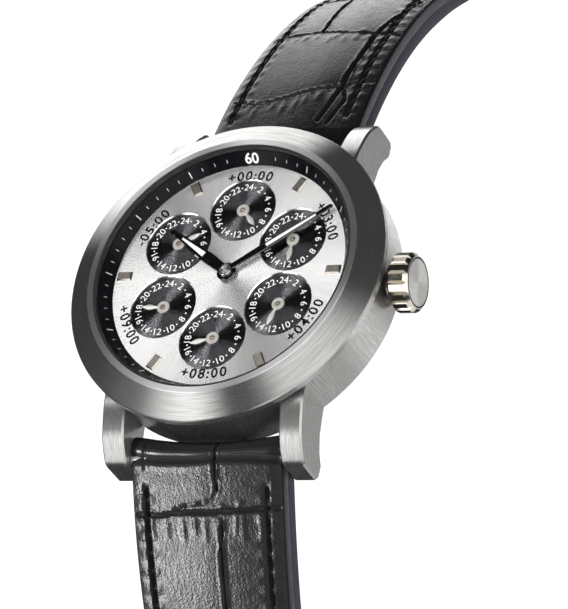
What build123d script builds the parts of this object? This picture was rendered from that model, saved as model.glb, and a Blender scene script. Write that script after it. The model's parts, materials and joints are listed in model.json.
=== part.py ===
from build123d import *
import os
from math import atan2, ceil, cos, degrees, hypot, radians, sin, sqrt

# World time wristwatch, in millimetres.
# +Z points out of the dial, +Y to twelve o'clock and +X to three o'clock.
# The origin is the centre of the case back's wrist face, on the axis of the hands.

# Case
band_r = 19.5
band_height = 6.25
band_chamfer = 0.35
back_lip = 0.8
bore_r = 16.7
bezel_seat_r = 18.25
bezel_seat_depth = 0.75
strap_relief_y = 19.0
bezel_r = 20.0
bezel_wall = 0.95
bezel_rise = 1.58
bezel_cone_r = 17.09
bezel_lip_rise = 0.05
bezel_inner_r = 16.35
bezel_skirt = 0.7
bezel_skirt_wall = 0.9
bezel_edge_bevel = 0.12
press_gap = 0.03
seat_gap = 0.05

# Lugs
lug_gap = 20.0
lug_width = 2.85
lug_root_y = 14.0
lug_tip_y = 22.85
lug_drop = 1.55
lug_top_z = 6.6
lug_bevel = 0.22
lug_top_shares = ((0.119, 1.0), (0.463, 0.908), (0.746, 0.767), (0.887, 0.642), (0.98, 0.53), (1.0, 0.43))
lug_foot_shares = (
    (1.0, 0.067), (0.938, 0.0), (0.774, 0.0), (0.633, 0.129), (0.429, 0.227), (0.2, 0.27), (0.0, 0.288),
)

# Crystal and minute flange
crystal_r = 16.05
crystal_edge = 0.8
crystal_stand_proud = 0.05
crystal_chamfer = 0.15
flange_dial_r = 14.8
flange_top_r = 15.95

# Case back
back_r = 18.4
back_chamfer = 0.4
back_thickness = 0.9
back_skirt_depth = 0.8
back_skirt_wall = 0.9
back_gasket_width = 0.36
back_gasket_height = 0.4
back_screw_count = 4
back_screw_inset = 0.9
back_screw_head_r = 0.62
back_screw_head_height = 0.3
back_screw_shank_r = 0.4
back_screw_length = 1.9
back_screw_slot = 0.18

# Dial and its furniture
dial_r = 16.2
dial_thickness = 0.4
dial_centre_hole_r = 0.85
zone_ring_r = 8.637
zone_first_deg = 90.0
zone_count = 6
subdial_r = 4.12
subdial_thickness = 0.2
subdial_bevel = 0.1
subdial_gap = 0.02
subdial_hole_r = 0.42
marker_ring_r = 13.6
marker_length = 1.9
marker_width = 1.15
marker_height = 0.23
marker_bevel = 0.14

# Hands, set to nine minutes past ten
shown_hour = 10
shown_minute = 9.17
zone_hours = (9, 12, 13, 17, 18, 4)
zone_names = ("12", "2", "4", "6", "8", "10")
hour_hand_length = 10.54
hour_hand_wide = 1.45
hour_hand_neck = 1.2
hour_hand_tip = 0.5
hour_hand_wide_share = 0.33
hour_hub_r = 1.2
minute_hand_length = 14.64
minute_hand_wide = 0.98
minute_hand_neck = 0.78
minute_hand_tip = 0.62
minute_hand_wide_share = 0.38
minute_hub_r = 0.92
hand_thickness = 0.14
zone_hand_length = 2.85
zone_hand_neck = 0.28
zone_hand_wide = 0.62
zone_hand_tip = 0.1
zone_hand_wide_share = 0.68
zone_hub_r = 0.8
zone_hand_thickness = 0.18
hand_air = 0.12
marker_air = 0.12
hub_cap_rise = 0.17

# World time train: the twelve hour pinion drives three idlers, and each idler drives two zone wheels
centre_teeth = 18
idler_teeth = 22
zone_teeth = 36
idler_count = 3
train_height = 0.35
train_air = 0.1
arbor_r = 0.3
run_gap = 0.035
addendum_share = 0.95
dedendum_share = 1.25
root_half_share = 0.46

# Motion work between the hands
cannon_teeth = 10
minute_wheel_teeth = 30
minute_pinion_teeth = 8
hour_wheel_teeth = 32
motion_module = 0.15
motion_deg = 120.0
wheel_height = 0.26
cannon_r = 0.43
hour_pipe_r = 0.72
pocket_gap = 0.1

# Motor train under the main plate
motor_module = 0.09
centre_wheel_teeth = 60
train_pinion_teeth = 6
train_wheel_teeth = 54
rotor_pinion_teeth = 6
train_deg = 200.0
rotor_deg = 250.0
thin_wheel = 0.15
fine_arbor_r = 0.13
rotor_r = 0.65
rotor_height = 0.45
stator_height = 0.3
stator_gap = 0.2

# Movement plates
movement_r = 13.5
plate_height = 1.33
module_plate_height = 0.5
module_rim = 0.6
ring_wall_top = 3.05
ring_wall_foot = 3.5
pocket_depth = 0.95
bridge_drop = 1.2
bridge_height = 0.5
bridge_r = 12.6
bridge_reach_x = 6.8
bridge_reach_y = 1.9
bridge_low_y = -7.9
pillar_r = 0.8
pillar_places = ((4.6, -3.6), (-7.2, 0.8), (-7.6, -5.2))
battery_r = 4.75
battery_height = 2.1
battery_cap_r = 4.1
battery_cap = 0.2
battery_x = 4.4
battery_y = 6.9
board_height = 0.25
board_x = -0.9
board_y = 3.3
quartz_can_r = 0.75
quartz_can_length = 5.0
quartz_can_x = -7.4
quartz_can_y = 6.6
chip_size = 2.6
chip_height = 0.7
chip_x = -3.6
chip_y = 8.6
coil_r = 0.9
coil_length = 7.2
coil_x = -1.4
coil_y = -9.7
core_r = 0.35
core_overhang = 1.1
core_foot = 1.5

# Crown and stem
crown_z = 3.9
crown_r = 3.5
crown_inner_x = 20.4
crown_length = 2.5
crown_flutes = 18
crown_flute_depth = 0.36
crown_shoulder_share = 0.2
crown_bevel = 0.5
crown_inner_bevel = 0.3
crown_rim_r = 2.95
crown_recess_width = 0.2
crown_recess_depth = 0.16
crown_collar_r = 2.5
crown_collar = 0.5
tube_r = 1.2
tube_bore_r = 0.7
tube_length = 4.9
crown_gasket_section = 0.4
crown_pull = 0.8
stem_r = 0.6
stem_pivot_r = 0.3
stem_pivot_x = 7.4
stem_pivot_length = 1.3
stem_square = 0.8
stem_square_length = 3.0
clutch_r = 1.0
clutch_length = 1.6
clutch_back = 0.7
clutch_teeth = 12
clutch_tooth_depth = 0.16
stem_block_width = 3.2
stem_block_length = 1.1
stem_block_wall = 0.35

# Spring bars
bar_y = 21.3
bar_z = 1.5
bar_r = 0.9
bar_tip_r = 0.42
bar_tip_length = 1.1
bar_end_gap = 0.1
bar_tip_gap = 0.03

# Strap, as a path from the spring bar
strap_width = 19.6
strap_end_width = 18.0
strap_thick = 3.8
strap_end_thick = 3.0
strap_tail_thick = 2.4
strap_edge_drop = 0.75
strap_edge_width = 1.3
strap_full_length = 30.0
strap_taper_length = 46.0
upper_heading_deg = -12.0
upper_bend_r = 70.0
upper_bend_length = 40.0
upper_length = 75.0
lower_heading_deg = -30.0
lower_bend_r = 95.0
lower_bend_length = 30.0
lower_flare_r = 40.0
lower_length = 115.0
tail_point_length = 12.0
tail_shares = ((0.0, 1.0), (0.35, 0.93), (0.65, 0.76), (0.87, 0.5), (1.0, 0.22))
section_shares = ((0.0, 0.0), (0.5, 0.1), (1.0, 0.45))
strap_step = 4.0
strap_turn_step_deg = 9.0
tail_hole_count = 7
tail_hole_r = 0.9
tail_hole_pitch = 6.5
tail_hole_first = 22.0
tongue_slot_width = 3.2
tongue_slot_length = 5.5

# Buckle and keepers
buckle_bar_r = 0.75
buckle_bar_reach = 10.5
buckle_side_gap = 0.3
buckle_arm_width = 1.7
buckle_length = 10.8
buckle_end_width = 2.2
buckle_low = 1.5
buckle_end_height = 1.9
buckle_corner_r = 1.2
tongue_width = 2.4
tongue_loop_r = 1.35
tongue_height = 0.8
tongue_notch_depth = 0.35
tongue_gap = 0.04
keeper_wall = 1.2
keeper_width = 5.0
keeper_gap = 0.25
keeper_from_buckle = 12.5
keeper_pitch = 8.5
keeper_room = 2.6
cut_over = 1.0

# Places that follow from the sizes above
back_screw_ring_r = back_r - back_screw_inset
keeper_fixed_s = upper_length - keeper_from_buckle
keeper_free_s = keeper_fixed_s - keeper_pitch

# Heights, stacked from the wrist face
band_low_z = back_lip
band_top_z = band_low_z + band_height
bezel_edge_z = band_top_z + bezel_wall
bezel_cone_z = bezel_edge_z + bezel_rise
bezel_top_z = bezel_cone_z + bezel_lip_rise
crystal_top_z = bezel_top_z + crystal_stand_proud
crystal_low_z = crystal_top_z - crystal_edge
back_skirt_z = back_thickness + back_skirt_depth
dial_low_z = band_top_z - seat_gap
dial_top_z = dial_low_z + dial_thickness
subdial_top_z = dial_low_z + subdial_thickness
module_low_z = dial_low_z - module_plate_height
train_top_z = module_low_z - train_air
train_low_z = train_top_z - train_height
plate_top_z = train_low_z - train_air
plate_low_z = plate_top_z - plate_height
pocket_floor_z = plate_top_z - pocket_depth
minute_wheel_low_z = pocket_floor_z + pocket_gap
minute_wheel_top_z = minute_wheel_low_z + wheel_height
hour_wheel_low_z = minute_wheel_top_z + pocket_gap
hour_wheel_top_z = hour_wheel_low_z + wheel_height
bridge_top_z = plate_low_z - bridge_drop
bridge_low_z = bridge_top_z - bridge_height
zone_hand_low_z = subdial_top_z + hand_air / 2
zone_hand_top_z = zone_hand_low_z + zone_hand_thickness
zone_arbor_top_z = zone_hand_top_z + hand_air / 2
marker_top_z = dial_top_z + marker_height
hour_hand_low_z = marker_top_z + marker_air
hour_hand_top_z = hour_hand_low_z + hand_thickness
minute_hand_low_z = hour_hand_top_z + hand_air
minute_hand_top_z = minute_hand_low_z + hand_thickness
hub_top_z = minute_hand_top_z + hub_cap_rise

# Strap path down to the surface that the watch stands on
upper_turn_deg = -degrees(upper_bend_length / upper_bend_r)
upper_end_deg = upper_heading_deg + upper_turn_deg
lower_turn_deg = -degrees(lower_bend_length / lower_bend_r)
lower_mid_deg = lower_heading_deg + lower_turn_deg


def bend_drop(start_deg, end_deg, radius):
    """Height lost along an arc that turns downward from one heading to another."""
    return radius * (cos(radians(start_deg)) - cos(radians(end_deg)))


upper_straight = upper_length - upper_bend_length
upper_straight_drop = upper_straight * sin(radians(-upper_end_deg))
buckle_drop = bend_drop(upper_heading_deg, upper_end_deg, upper_bend_r) + upper_straight_drop
buckle_z = bar_z - buckle_drop
table_z = buckle_z - buckle_low
lower_bend_drop = bend_drop(lower_heading_deg, lower_mid_deg, lower_bend_r)
flare_drop = -bend_drop(lower_mid_deg, 0.0, lower_flare_r)
flare_length = lower_flare_r * radians(-lower_mid_deg)
lower_fall = bar_z - lower_bend_drop - flare_drop - table_z - strap_tail_thick / 2
lower_straight = lower_fall / sin(radians(-lower_mid_deg))
tail_flat = lower_length - lower_bend_length - lower_straight - flare_length
upper_path = ((upper_bend_length, upper_turn_deg), (upper_straight, 0.0))
lower_path = (
    (lower_bend_length, lower_turn_deg),
    (lower_straight, 0.0),
    (flare_length, -lower_mid_deg),
    (tail_flat, 0.0),
)


def on_path(path, heading_deg, distance):
    """Place along a strap path: outward and up from the spring bar, and the heading there."""
    out = 0.0
    up = 0.0
    left = distance
    for length, turn_deg in path:
        run = min(left, length)
        if turn_deg == 0.0:
            out += run * cos(radians(heading_deg))
            up += run * sin(radians(heading_deg))
        else:
            turned_deg = turn_deg * run / length
            radius = length / radians(-turn_deg)
            end_deg = heading_deg + turned_deg
            out += radius * (sin(radians(-end_deg)) - sin(radians(-heading_deg)))
            up -= bend_drop(heading_deg, end_deg, radius)
            heading_deg = end_deg
        left -= run
        if left <= 0:
            break
    return out, up, heading_deg


# Plain shapes
def disc(radius, low, high, x=0.0, y=0.0):
    """Upright cylinder between two heights."""
    return Pos(x, y, (low + high) / 2) * Cylinder(radius, high - low)


def ring(outer, inner, low, high):
    """Upright ring about the hands' axis."""
    return disc(outer, low, high) - disc(inner, low - cut_over, high + cut_over)


def block(low, high):
    """Box between two corners."""
    size = [b - a for a, b in zip(low, high)]
    middle = [(a + b) / 2 for a, b in zip(low, high)]
    return Pos(*middle) * Box(*size)


def turned(*points):
    """Solid of revolution about Z from points given as radius and height."""
    return revolve(Plane.XZ * Polygon(*points, align=None), axis=Axis.Z)


def turned_on_stem(*points):
    """Solid of revolution about the stem's axis from points given as x and radius."""
    outline = [(x, crown_z + radius) for x, radius in points]
    return revolve(Plane.XZ * Polygon(*outline, align=None), axis=Axis((0, 0, crown_z), (1, 0, 0)))


def polar(radius, angle_deg):
    """Point at a radius and an angle from +X."""
    return radius * cos(radians(angle_deg)), radius * sin(radians(angle_deg))


def prism(points, low, high):
    """Upright prism on an outline."""
    return Pos(0, 0, low) * extrude(Polygon(*points, align=None), high - low)


# Gears
def gear_outline(teeth, module, phase_deg):
    """Outline of pointed teeth, as watch wheels have, with one tooth at the phase angle."""
    pitch_r = teeth * module / 2
    root_r = pitch_r - module * dedendum_share
    tip_r = pitch_r + module * addendum_share
    step = 360.0 / teeth
    tooth = ((root_r, -root_half_share), (tip_r, 0.0), (root_r, root_half_share))
    points = []
    for index in range(teeth):
        for radius, share in tooth:
            points.append(polar(radius, phase_deg + (index + share) * step))
    return points


def gear(teeth, module, phase_deg, low, high, x=0.0, y=0.0):
    """Toothed wheel without a bore."""
    return Pos(x, y, 0) * prism(gear_outline(teeth, module, phase_deg), low, high)


def meshed_phase(phase_deg, teeth, direction_deg, next_teeth):
    """Phase of the next gear, which lies in that direction, so that its teeth fall in the gaps."""
    ahead = ((direction_deg - phase_deg) * teeth / 360.0) % 1.0
    return direction_deg + 180.0 - (0.5 - ahead) * 360.0 / next_teeth


centre_to_idler_teeth = (centre_teeth + idler_teeth) / 2
idler_to_zone_teeth = (idler_teeth + zone_teeth) / 2
half_step_deg = 180.0 / zone_count
train_module = zone_ring_r / (
    centre_to_idler_teeth * cos(radians(half_step_deg))
    + sqrt(idler_to_zone_teeth**2 - (centre_to_idler_teeth * sin(radians(half_step_deg))) ** 2)
)
idler_ring_r = centre_to_idler_teeth * train_module
motion_distance = (cannon_teeth + minute_wheel_teeth) * motion_module / 2
motion_x, motion_y = polar(motion_distance, motion_deg)
train_distance = (centre_wheel_teeth + train_pinion_teeth) * motor_module / 2
train_x, train_y = polar(train_distance, train_deg)
rotor_distance = (train_wheel_teeth + rotor_pinion_teeth) * motor_module / 2
rotor_step_x, rotor_step_y = polar(rotor_distance, rotor_deg)
rotor_x = train_x + rotor_step_x
rotor_y = train_y + rotor_step_y


def zone_angle(index):
    """Direction of a zone's centre: the first at twelve o'clock, the rest clockwise."""
    return zone_first_deg - index * 360.0 / zone_count


def idler_angle(index):
    """Direction of an idler, between the two zones that it drives."""
    return zone_angle(2 * index) - half_step_deg


zone_places = [polar(zone_ring_r, zone_angle(index)) for index in range(zone_count)]
idler_places = [polar(idler_ring_r, idler_angle(index)) for index in range(idler_count)]


# Case pieces
def lug(side_x, side_y):
    """One lug with its side outline, its spring bar hole and bevelled long edges."""
    def place(shares):
        y = lug_root_y + shares[0] * (lug_tip_y - lug_root_y)
        z = -lug_drop + shares[1] * (lug_top_z + lug_drop)
        return (y, z)
    top = [place(shares) for shares in lug_top_shares]
    foot = [place(shares) for shares in lug_foot_shares]
    root_top = (lug_root_y, top[0][1])
    outline = Wire([
        Edge.make_line(root_top, top[0]),
        Edge.make_spline(top, tangents=[(1, 0), (0, -1)]),
        *[Edge.make_line(a, b) for a, b in zip([top[-1]] + foot, foot)],
        Edge.make_line(foot[-1], root_top),
    ])
    solid = extrude(Plane.YZ * make_face(outline), lug_width)
    faces = solid.faces().sort_by(Axis.X)
    side_edges = faces[0].edges() + faces[-1].edges()
    long_edges = [edge for edge in side_edges if edge.center().Y > lug_root_y + lug_bevel]
    solid = chamfer(long_edges, lug_bevel)
    solid = Pos(lug_gap / 2, 0, 0) * solid
    tip_hole = Pos(lug_gap / 2, bar_y, bar_z) * Rot(0, 90, 0) * Cylinder(
        bar_tip_r + bar_tip_gap, 2 * (bar_tip_length + bar_end_gap)
    )
    solid = solid - tip_hole
    if side_x < 0:
        solid = mirror(solid, Plane.YZ)
    if side_y < 0:
        solid = mirror(solid, Plane.XZ)
    return solid


def make_middle_case():
    """Band with its four lugs, the seats for bezel, back and crown tube, and the strap reliefs."""
    band = turned(
        (0, band_low_z), (band_r - band_chamfer, band_low_z), (band_r, band_low_z + band_chamfer),
        (band_r, band_top_z), (0, band_top_z),
    )
    for side_y in (1, -1):
        y_near, y_far = sorted((side_y * strap_relief_y, side_y * (band_r + cut_over)))
        band -= block((-lug_gap / 2, y_near, -cut_over), (lug_gap / 2, y_far, band_top_z + cut_over))
    for side_x in (1, -1):
        for side_y in (1, -1):
            band += lug(side_x, side_y)
    band -= disc(bore_r, -cut_over, band_top_z + cut_over)
    band -= disc(back_r + seat_gap, -lug_drop - cut_over, band_low_z)
    band -= disc(bezel_seat_r, band_top_z - bezel_seat_depth, band_top_z + cut_over)
    tube_hole = turned_on_stem((0, 0), (band_r + cut_over, 0), (band_r + cut_over, tube_r), (0, tube_r))
    band -= tube_hole
    for index in range(back_screw_count):
        x, y = polar(back_screw_ring_r, (index + 0.5) * 360.0 / back_screw_count)
        band -= disc(back_screw_shank_r, 0, back_screw_length + back_screw_head_height, x, y)
    return band


def make_bezel():
    """Conical bezel with a polished inner lip, a bevelled rim and a skirt that drops into the case."""
    skirt_r = bezel_seat_r - seat_gap
    solid = turned(
        (bezel_inner_r, band_top_z), (skirt_r - bezel_skirt_wall, band_top_z),
        (skirt_r - bezel_skirt_wall, band_top_z - bezel_skirt), (skirt_r, band_top_z - bezel_skirt),
        (skirt_r, band_top_z), (bezel_r, band_top_z), (bezel_r, bezel_edge_z),
        (bezel_cone_r, bezel_cone_z), (bezel_cone_r - bezel_lip_rise, bezel_top_z),
        (bezel_inner_r, bezel_top_z),
    )
    rim = [edge for edge in solid.edges().filter_by(GeomType.CIRCLE) if abs(edge.radius - bezel_r) < seat_gap]
    return chamfer(rim, bezel_edge_bevel)


def make_crystal():
    """Flat glass with a bevelled edge."""
    bevel_z = crystal_top_z - crystal_chamfer
    bevel_r = crystal_r - crystal_chamfer
    return turned(
        (0, crystal_low_z), (crystal_r, crystal_low_z), (crystal_r, bevel_z), (bevel_r, crystal_top_z),
        (0, crystal_top_z),
    )


def make_dial_flange():
    """Sloping ring that carries the minute track, between dial and crystal."""
    outer = bezel_inner_r - press_gap
    return turned(
        (flange_dial_r, dial_top_z), (outer, dial_top_z),
        (outer, crystal_low_z), (flange_top_r, crystal_low_z),
    )


def make_case_back():
    """Back cover with a skirt that carries the gasket and four counterbored screw holes."""
    skirt_r = bore_r - seat_gap
    groove_r = skirt_r - back_gasket_width
    skirt_inner_r = groove_r - back_skirt_wall
    groove_z = band_low_z + back_gasket_height / 2
    solid = turned(
        (0, 0), (back_r - back_chamfer, 0), (back_r, back_chamfer), (back_r, band_low_z),
        (skirt_r, band_low_z), (skirt_r, groove_z), (groove_r, groove_z), (groove_r, back_skirt_z),
        (skirt_inner_r, back_skirt_z), (skirt_inner_r, back_thickness), (0, back_thickness),
    )
    for index in range(back_screw_count):
        x, y = polar(back_screw_ring_r, (index + 0.5) * 360.0 / back_screw_count)
        solid -= disc(back_screw_shank_r + press_gap, -cut_over, band_low_z + cut_over, x, y)
        solid -= disc(back_screw_head_r + press_gap, -cut_over, back_screw_head_height, x, y)
    return solid


def make_back_gasket():
    """Square section gasket round the back's skirt."""
    skirt_r = bore_r - seat_gap
    low = band_low_z + back_gasket_height / 2
    return ring(skirt_r, skirt_r - back_gasket_width, low, low + back_gasket_height)


def make_back_screws():
    """Slotted screws that hold the back."""
    screws = []
    for index in range(back_screw_count):
        angle = (index + 0.5) * 360.0 / back_screw_count
        x, y = polar(back_screw_ring_r, angle)
        head = disc(back_screw_head_r, press_gap, back_screw_head_height, x, y)
        slot = Pos(x, y, press_gap) * Rot(0, 0, angle) * Box(
            2 * back_screw_head_r, back_screw_slot, back_screw_slot
        )
        shank = disc(back_screw_shank_r, back_screw_head_height, back_screw_length, x, y)
        screws.append(head - slot + shank)
    return Compound(children=screws)


# Dial side
def make_dial():
    """Silver dial with a hole for each sub-dial and for the hands."""
    dial = disc(dial_r, dial_low_z, dial_top_z) - disc(dial_centre_hole_r, 0, dial_top_z + cut_over)
    for x, y in zone_places:
        well = turned(
            (0, 0), (subdial_r + subdial_gap, 0), (subdial_r + subdial_gap, dial_top_z - subdial_bevel),
            (subdial_r + subdial_gap + subdial_bevel, dial_top_z),
            (subdial_r + subdial_gap + subdial_bevel, dial_top_z + cut_over), (0, dial_top_z + cut_over),
        )
        dial -= Pos(x, y, 0) * well
    return dial


def make_subdial(x, y):
    """Sub-dial disc with a hole for its arbor."""
    return disc(subdial_r, dial_low_z, subdial_top_z, x, y) - disc(subdial_hole_r, 0, dial_top_z, x, y)


def make_hour_markers():
    """Bevelled applied markers at the odd hours."""
    markers = []
    middle_z = (dial_top_z + marker_top_z) / 2
    for index in range(zone_count):
        block_shape = Box(marker_length, marker_width, marker_height)
        top_edges = block_shape.faces().sort_by(Axis.Z)[-1].edges()
        shape = chamfer(top_edges, marker_bevel)
        place = Rot(0, 0, zone_angle(index) - half_step_deg) * Pos(marker_ring_r, 0, middle_z)
        markers.append(place * shape)
    return Compound(children=markers)


def hand(length, neck, wide, tip, wide_share, hub_r, bore, low, high, clockwise_deg, x=0.0, y=0.0):
    """Flat hand that widens from its neck and tapers to a round tip, pointing clockwise from twelve."""
    widest = length * wide_share
    shoulder = length - tip / 2
    blade = Polygon(
        (0, -neck / 2), (widest, -wide / 2), (shoulder, -tip / 2), (shoulder, tip / 2), (widest, wide / 2),
        (0, neck / 2), align=None,
    )
    outline = blade + Circle(hub_r) + Pos(shoulder, 0) * Circle(tip / 2) - Circle(bore)
    solid = extrude(outline, high - low)
    return Pos(x, y, low) * Rot(0, 0, 90.0 - clockwise_deg) * solid


minute_deg = shown_minute * 6.0
hour_deg = (shown_hour + shown_minute / 60.0) * 30.0


def make_hour_hand():
    """Hour hand, pressed on the hour wheel's pipe."""
    return hand(
        hour_hand_length, hour_hand_neck, hour_hand_wide, hour_hand_tip, hour_hand_wide_share, hour_hub_r,
        hour_pipe_r, hour_hand_low_z, hour_hand_top_z, hour_deg,
    )


def make_minute_hand():
    """Minute hand, pressed on the cannon's top."""
    return hand(
        minute_hand_length, minute_hand_neck, minute_hand_wide, minute_hand_tip, minute_hand_wide_share,
        minute_hub_r, cannon_r, minute_hand_low_z, minute_hand_top_z, minute_deg,
    )


def make_zone_hand(index):
    """Small leaf hand of a zone, pressed on its arbor: one turn in 24 hours."""
    x, y = zone_places[index]
    angle = (zone_hours[index] + shown_minute / 60.0) * 15.0
    return hand(
        zone_hand_length, zone_hand_neck, zone_hand_wide, zone_hand_tip, zone_hand_wide_share, zone_hub_r,
        arbor_r, zone_hand_low_z, zone_hand_top_z, angle, x, y,
    )


# World time train
centre_phase_deg = 90.0
idler_phases = [
    meshed_phase(centre_phase_deg, centre_teeth, idler_angle(index), idler_teeth)
    for index in range(idler_count)
]


def make_idler(index):
    """Idler wheel, free on its post."""
    x, y = idler_places[index]
    wheel = gear(idler_teeth, train_module, idler_phases[index], train_low_z, train_top_z, x, y)
    return wheel - disc(arbor_r + run_gap, train_low_z - cut_over, train_top_z + cut_over, x, y)


def make_zone_wheel(index):
    """Zone wheel on its arbor, which stands in the main plate and carries the zone hand."""
    x, y = zone_places[index]
    idler_index = index // 2
    idler_x, idler_y = idler_places[idler_index]
    direction = degrees(atan2(y - idler_y, x - idler_x))
    phase = meshed_phase(idler_phases[idler_index], idler_teeth, direction, zone_teeth)
    wheel = gear(zone_teeth, train_module, phase, train_low_z, train_top_z, x, y)
    return wheel + disc(arbor_r, pocket_floor_z, zone_arbor_top_z, x, y)


# Motion work
cannon_phase_deg = 90.0
minute_wheel_phase_deg = meshed_phase(cannon_phase_deg, cannon_teeth, motion_deg, minute_wheel_teeth)
minute_pinion_phase_deg = motion_deg + 180.0
hour_wheel_phase_deg = meshed_phase(
    minute_pinion_phase_deg, minute_pinion_teeth, motion_deg + 180.0, hour_wheel_teeth
)
centre_wheel_phase_deg = 0.0
train_pinion_phase_deg = meshed_phase(
    centre_wheel_phase_deg, centre_wheel_teeth, train_deg, train_pinion_teeth
)
train_wheel_phase_deg = 0.0
rotor_phase_deg = meshed_phase(train_wheel_phase_deg, train_wheel_teeth, rotor_deg, rotor_pinion_teeth)

centre_wheel_high_z = plate_low_z - pocket_gap
centre_wheel_low_z = centre_wheel_high_z - thin_wheel
train_wheel_high_z = centre_wheel_low_z - 1.5 * thin_wheel
train_wheel_low_z = train_wheel_high_z - thin_wheel
rotor_low_z = bridge_top_z + pocket_gap
rotor_high_z = rotor_low_z + rotor_height
bridge_pivot_z = bridge_top_z - bridge_height / 2
plate_pivot_z = plate_low_z + bridge_height / 2


def make_cannon_pinion():
    """Minute arbor with its pinion, from the bridge to the minute hand."""
    shaft = disc(cannon_r, centre_wheel_low_z - pocket_gap, hub_top_z)
    pinion = gear(cannon_teeth, motion_module, cannon_phase_deg, minute_wheel_low_z, minute_wheel_top_z)
    pivot = disc(fine_arbor_r, bridge_pivot_z, centre_wheel_low_z)
    return shaft + pinion + pivot


def make_centre_wheel():
    """Wheel that the motor train drives, tight on the minute arbor."""
    wheel = gear(
        centre_wheel_teeth, motor_module, centre_wheel_phase_deg, centre_wheel_low_z, centre_wheel_high_z
    )
    return wheel - disc(cannon_r, centre_wheel_low_z - cut_over, centre_wheel_high_z + cut_over)


def make_hour_wheel():
    """Hour wheel with its pipe, and the pinion that drives the world time train."""
    wheel = gear(hour_wheel_teeth, motion_module, hour_wheel_phase_deg, hour_wheel_low_z, hour_wheel_top_z)
    pipe = disc(hour_pipe_r, hour_wheel_low_z, hour_hand_top_z)
    pinion = gear(centre_teeth, train_module, centre_phase_deg, train_low_z, train_top_z)
    return wheel + pipe + pinion - disc(cannon_r + run_gap, 0, hub_top_z)


def make_minute_wheel():
    """Minute wheel and pinion on their post: they bring the minute arbor's turn down to the hour wheel's."""
    wheel = gear(
        minute_wheel_teeth, motion_module, minute_wheel_phase_deg, minute_wheel_low_z, minute_wheel_top_z,
        motion_x, motion_y,
    )
    pinion = gear(
        minute_pinion_teeth, motion_module, minute_pinion_phase_deg, minute_wheel_top_z, hour_wheel_top_z,
        motion_x, motion_y,
    )
    return wheel + pinion - disc(arbor_r + run_gap, 0, hub_top_z, motion_x, motion_y)


def make_train_wheel():
    """Intermediate wheel and pinion of the motor train."""
    wheel = gear(
        train_wheel_teeth, motor_module, train_wheel_phase_deg, train_wheel_low_z, train_wheel_high_z,
        train_x, train_y,
    )
    pinion = gear(
        train_pinion_teeth, motor_module, train_pinion_phase_deg, train_wheel_high_z, centre_wheel_high_z,
        train_x, train_y,
    )
    return wheel + pinion + disc(fine_arbor_r, bridge_pivot_z, plate_pivot_z, train_x, train_y)


def make_rotor():
    """Magnet rotor with its pinion."""
    magnet = disc(rotor_r, rotor_low_z, rotor_high_z, rotor_x, rotor_y)
    pinion = gear(
        rotor_pinion_teeth, motor_module, rotor_phase_deg, rotor_high_z, train_wheel_high_z, rotor_x, rotor_y,
    )
    return magnet + pinion + disc(fine_arbor_r, bridge_pivot_z, plate_pivot_z, rotor_x, rotor_y)


# Movement plates
stem_block_low_z = crown_z - stem_r - stem_block_wall
clutch_low_x = stem_pivot_x + stem_pivot_length + clutch_back
clutch_high_x = clutch_low_x + clutch_length
stem_block_x = clutch_high_x + crown_pull


def make_main_plate():
    """Main plate: bores for the arbors, posts for the free wheels, motion work pocket and stem bearings."""
    plate = disc(movement_r - seat_gap, plate_low_z, plate_top_z)
    hour_tip_r = (hour_wheel_teeth / 2 + addendum_share) * motion_module
    minute_tip_r = (minute_wheel_teeth / 2 + addendum_share) * motion_module
    plate -= disc(hour_tip_r + pocket_gap, pocket_floor_z, plate_top_z + cut_over)
    plate -= disc(minute_tip_r + pocket_gap, pocket_floor_z, plate_top_z + cut_over, motion_x, motion_y)
    plate -= disc(cannon_r + run_gap, 0, plate_top_z)
    for x, y in zone_places:
        plate -= disc(arbor_r + run_gap, pocket_floor_z - pocket_gap, plate_top_z + cut_over, x, y)
    for x, y in idler_places:
        plate += disc(arbor_r, plate_top_z, module_low_z - press_gap, x, y)
    plate += disc(arbor_r, pocket_floor_z, hour_wheel_top_z, motion_x, motion_y)
    for x, y in ((train_x, train_y), (rotor_x, rotor_y)):
        plate -= disc(fine_arbor_r + run_gap, 0, plate_pivot_z + pocket_gap, x, y)
    half = stem_block_width / 2
    step_x = stem_block_x - cut_over / 2
    for low_x in (stem_pivot_x - pocket_gap, stem_block_x):
        plate += block((low_x, -half, stem_block_low_z), (low_x + stem_block_length, half, plate_low_z))
    plate -= turned_on_stem(
        (stem_pivot_x - cut_over, 0), (movement_r + cut_over, 0), (movement_r + cut_over, stem_r + run_gap),
        (step_x, stem_r + run_gap), (step_x, stem_pivot_r + run_gap),
        (stem_pivot_x - cut_over, stem_pivot_r + run_gap),
    )
    pocket_r = clutch_r + pocket_gap
    plate -= turned_on_stem(
        (stem_pivot_x + stem_block_length, 0), (stem_block_x, 0), (stem_block_x, pocket_r),
        (stem_pivot_x + stem_block_length, pocket_r),
    )
    return plate


def make_train_bridge():
    """Bridge that carries the lower pivots, on three pillars."""
    area = block((-bridge_r, bridge_low_y, bridge_low_z), (bridge_reach_x, bridge_reach_y, bridge_top_z))
    bridge = disc(bridge_r, bridge_low_z, bridge_top_z) & area
    for x, y in pillar_places:
        bridge += disc(pillar_r, bridge_top_z, plate_low_z, x, y)
    for x, y in ((0, 0), (train_x, train_y), (rotor_x, rotor_y)):
        bridge -= disc(fine_arbor_r + run_gap, bridge_pivot_z - pocket_gap, bridge_top_z + pocket_gap, x, y)
    return bridge


def make_module_plate():
    """Plate over the world time train, with its rim down to the main plate."""
    plate = disc(movement_r - seat_gap, plate_top_z, dial_low_z)
    plate -= disc(movement_r - module_rim, 0, module_low_z)
    plate -= disc(hour_pipe_r + run_gap, 0, dial_top_z)
    for x, y in zone_places:
        plate -= disc(arbor_r + run_gap, 0, dial_top_z, x, y)
    return plate


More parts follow.
